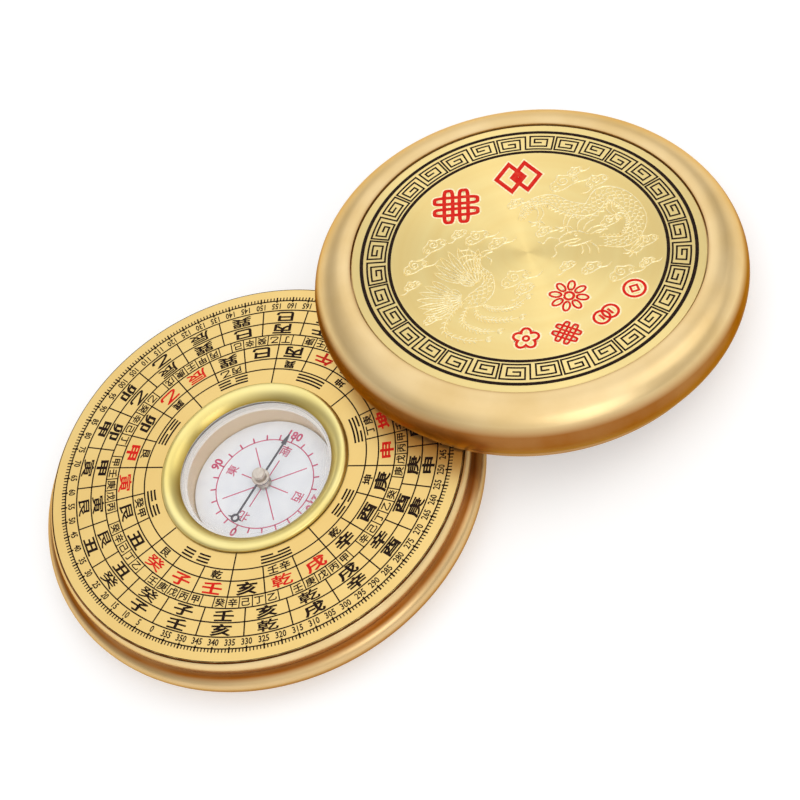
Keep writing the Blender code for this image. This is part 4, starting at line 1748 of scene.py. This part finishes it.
    def build(self, frosted: Material) -> None:
        """Strike both figures.

        Args:
            frosted: Their finish.
        """
        place = self.lid.place()
        for name, draw in (("lid_dragon", self.dragon), ("lid_phoenix", self.phoenix)):
            self.metal = Stock()
            draw()
            piece = write_piece(name, self.metal.shape(), frosted, "lid", place, 50.0)


@dataclass
class Studio:
    """Plain pale floor, soft light and the camera at the photograph's angle.

    The camera's place and turn come from the ellipses of the printed circles. Each lamp is its
    name, its place in metres, its side in metres and its power in watts. Each window is its
    direction, the cosines where its light starts and is full, and its share of white.
    """

    eye_mm: tuple[float, float, float] = (-244.30, 144.86, 395.83)
    turn_deg: tuple[float, float, float] = (33.4167, 14.9304, -149.0024)
    focal_share: float = 2200.2 / 800.0
    sensor_mm: float = 36.0
    lamps: tuple = (
        ("key", (-0.46, -0.46, 0.55), 0.45, 0.6),
        ("fill", (-0.62, 0.2, 0.55), 0.4, 0.9),
    )
    lamp_aim: tuple[float, float, float] = (-0.02, -0.03, 0.01)
    windows: tuple = (
        ((0.4176, -0.6683, 0.6157), 0.9, 0.98, 1.0),
        ((-0.453, 0.785, 0.4226), 0.78, 0.95, 0.55),
    )
    walls: tuple = (
        (0.0, "F4F4F4"), (0.16, "EEEEED"), (0.3, "A09E9C"), (0.5, "AEACAA"),
        (0.68, "C2C1C0"), (0.82, "ECECEC"), (0.95, "FFFFFF"),
    )
    room_light: float = 1.2
    floor_colour: str = "DCDCDC"
    floor_glow: float = 0.38
    floor_m: float = 6.0
    floor_drop_mm: float = 0.02

    def link(self, name: str, data: Any) -> bpy.types.Object:
        """Put a camera, a light or a mesh into the scene.

        Args:
            name: Its object's name.
            data: The camera, light or mesh.

        Returns:
            The object.
        """
        holder = bpy.data.objects.new(name, data)
        bpy.context.scene.collection.objects.link(holder)
        return holder

    def camera(self) -> None:
        """Set the camera."""
        data = bpy.data.cameras.new("camera")
        data.sensor_width = self.sensor_mm
        data.lens = self.focal_share * self.sensor_mm
        data.clip_start, data.clip_end = 0.01, 50.0
        holder = self.link("camera", data)
        turn = Euler([math.radians(angle) for angle in self.turn_deg]).to_matrix()
        holder.matrix_world = Matrix.Translation(Vector(self.eye_mm) * MM) @ turn.to_4x4()
        bpy.context.scene.camera = holder

    def floor(self) -> None:
        """Lay the floor, white to the camera and in reflections, with the object's shadow."""
        half, drop = self.floor_m / 2, -self.floor_drop_mm * MM
        corners = [(-half, -half, drop), (half, -half, drop), (half, half, drop), (-half, half, drop)]
        mesh = bpy.data.meshes.new("floor")
        mesh.from_pydata(corners, [], [(0, 1, 2, 3)])
        nodes = new_finish("floor_paper")
        ray = nodes.add("LightPath").outputs
        seen = nodes.math("MAXIMUM", ray["Is Camera Ray"], ray["Is Glossy Ray"])
        seen = nodes.math("MAXIMUM", seen, ray["Is Transmission Ray"])
        paper = nodes.add("BsdfDiffuse", {"Color": linear(self.floor_colour)}).outputs[0]
        strength = nodes.math("MULTIPLY", seen, self.floor_glow)
        glow = nodes.add("Emission", {"Color": linear("FFFFFF"), "Strength": strength}).outputs[0]
        mesh.materials.append(nodes.done(nodes.add("AddShader", {0: paper, 1: glow}).outputs[0]))
        piece = self.link("floor", mesh)

    def lamp(self, name: str, place: Sequence[float], size: float, power: float) -> None:
        """Hang one square soft lamp that looks at the object.

        Args:
            name: The lamp's name.
            place: Where it hangs, in metres.
            size: Its side, in metres.
            power: Its power, in watts.
        """
        data = bpy.data.lights.new(name, "AREA")
        data.shape = "SQUARE"
        data.size = size
        data.energy = power
        holder = self.link(name, data)
        holder.location = place
        away = Vector(place) - Vector(self.lamp_aim)
        holder.rotation_euler = away.to_track_quat("Z", "Y").to_euler()

    def sky(self) -> None:
        """Light the room: white overhead and at the horizon, grey walls, two soft windows."""
        nodes = Nodes(bpy.data.worlds.new("room"), "OutputWorld")
        way = nodes.add("TexCoord").outputs["Generated"]
        tone = nodes.tone(nodes.add("SeparateXYZ", {0: way}).outputs[2], self.walls)
        for direction, start, full, share in self.windows:
            ahead = nodes.add("VectorMath", {0: way, 1: direction}, operation="DOT_PRODUCT")
            inputs = {0: ahead.outputs["Value"], 1: start, 2: full, 4: share}
            sweep = nodes.add("MapRange", inputs, interpolation_type="SMOOTHSTEP").outputs[0]
            tone = nodes.mix(sweep, tone, "FFFFFF")
        light = nodes.add("Background", {"Color": tone, "Strength": self.room_light}).outputs[0]
        bpy.context.scene.world = nodes.done(light)

    def build(self) -> None:
        """Set up camera, floor, lamps and room."""
        self.camera()
        self.floor()
        for lamp in self.lamps:
            self.lamp(*lamp)
        self.sky()
        bpy.context.scene.view_settings.view_transform = "Standard"


def main() -> None:
    """Build the pieces in order and report each one."""
    logging.basicConfig(level=logging.INFO, format="%(name)s %(message)s")
    Studio().build()
    brass = TurnedBrass().material()
    black = Enamel("black_enamel", "1C0D06", "362010").material()
    red = Enamel("red_enamel", "D81C12", "E0402A").material()
    Case().build(brass)
    Dial().build(GiltPlate().material(), {Ink.BLACK: black, Ink.RED: red})
    # The bezel's A08432 is the colour of its oxide and of its painted shade.
    bezel = TurnedBrass("turned_gilt_bezel", "FFF2AC", "F8E48E", "A08432", 0.3, "FFFFE0")
    Capsule().build(
        {
            "bezel": bezel.material(),
            "lens": ClearAcrylic().material(),
            "cup": ClearCup().material(),
            "card": PrintedCard().material(),
            "print": Enamel("magenta_print", "CC2F66", "D65A86").material(),
        }
    )
    Needle().build(
        PlainMetal("satin_nickel", "E2D8CC", "CFC2B4", 0.34, 0.8).material(),
        PlainMetal("blued_steel", "55515A", "403C46", 0.35, 0.6).material(),
        {
            "needle_jewel": Enamel("jewel", "B0404A", "C8606A", 0.1, 0.5).material(),
            "pivot_boss": PlainMetal("boss_nickel", "C9C0B6", "AFA59B", 0.3, 0.8).material(),
            "pivot_pin": PlainMetal("pin_steel", "C8C8CA", "B0B0B2", 0.2, 0.5).material(),
        },
    )
    lid = Lid()
    lid.build(brass, SpunGilt().material())
    frosted = FrostedGilt().material()
    LidPrint(lid).build(black, red, frosted)
    Relief(lid).build(frosted)


if __name__ == "__main__":
    main()
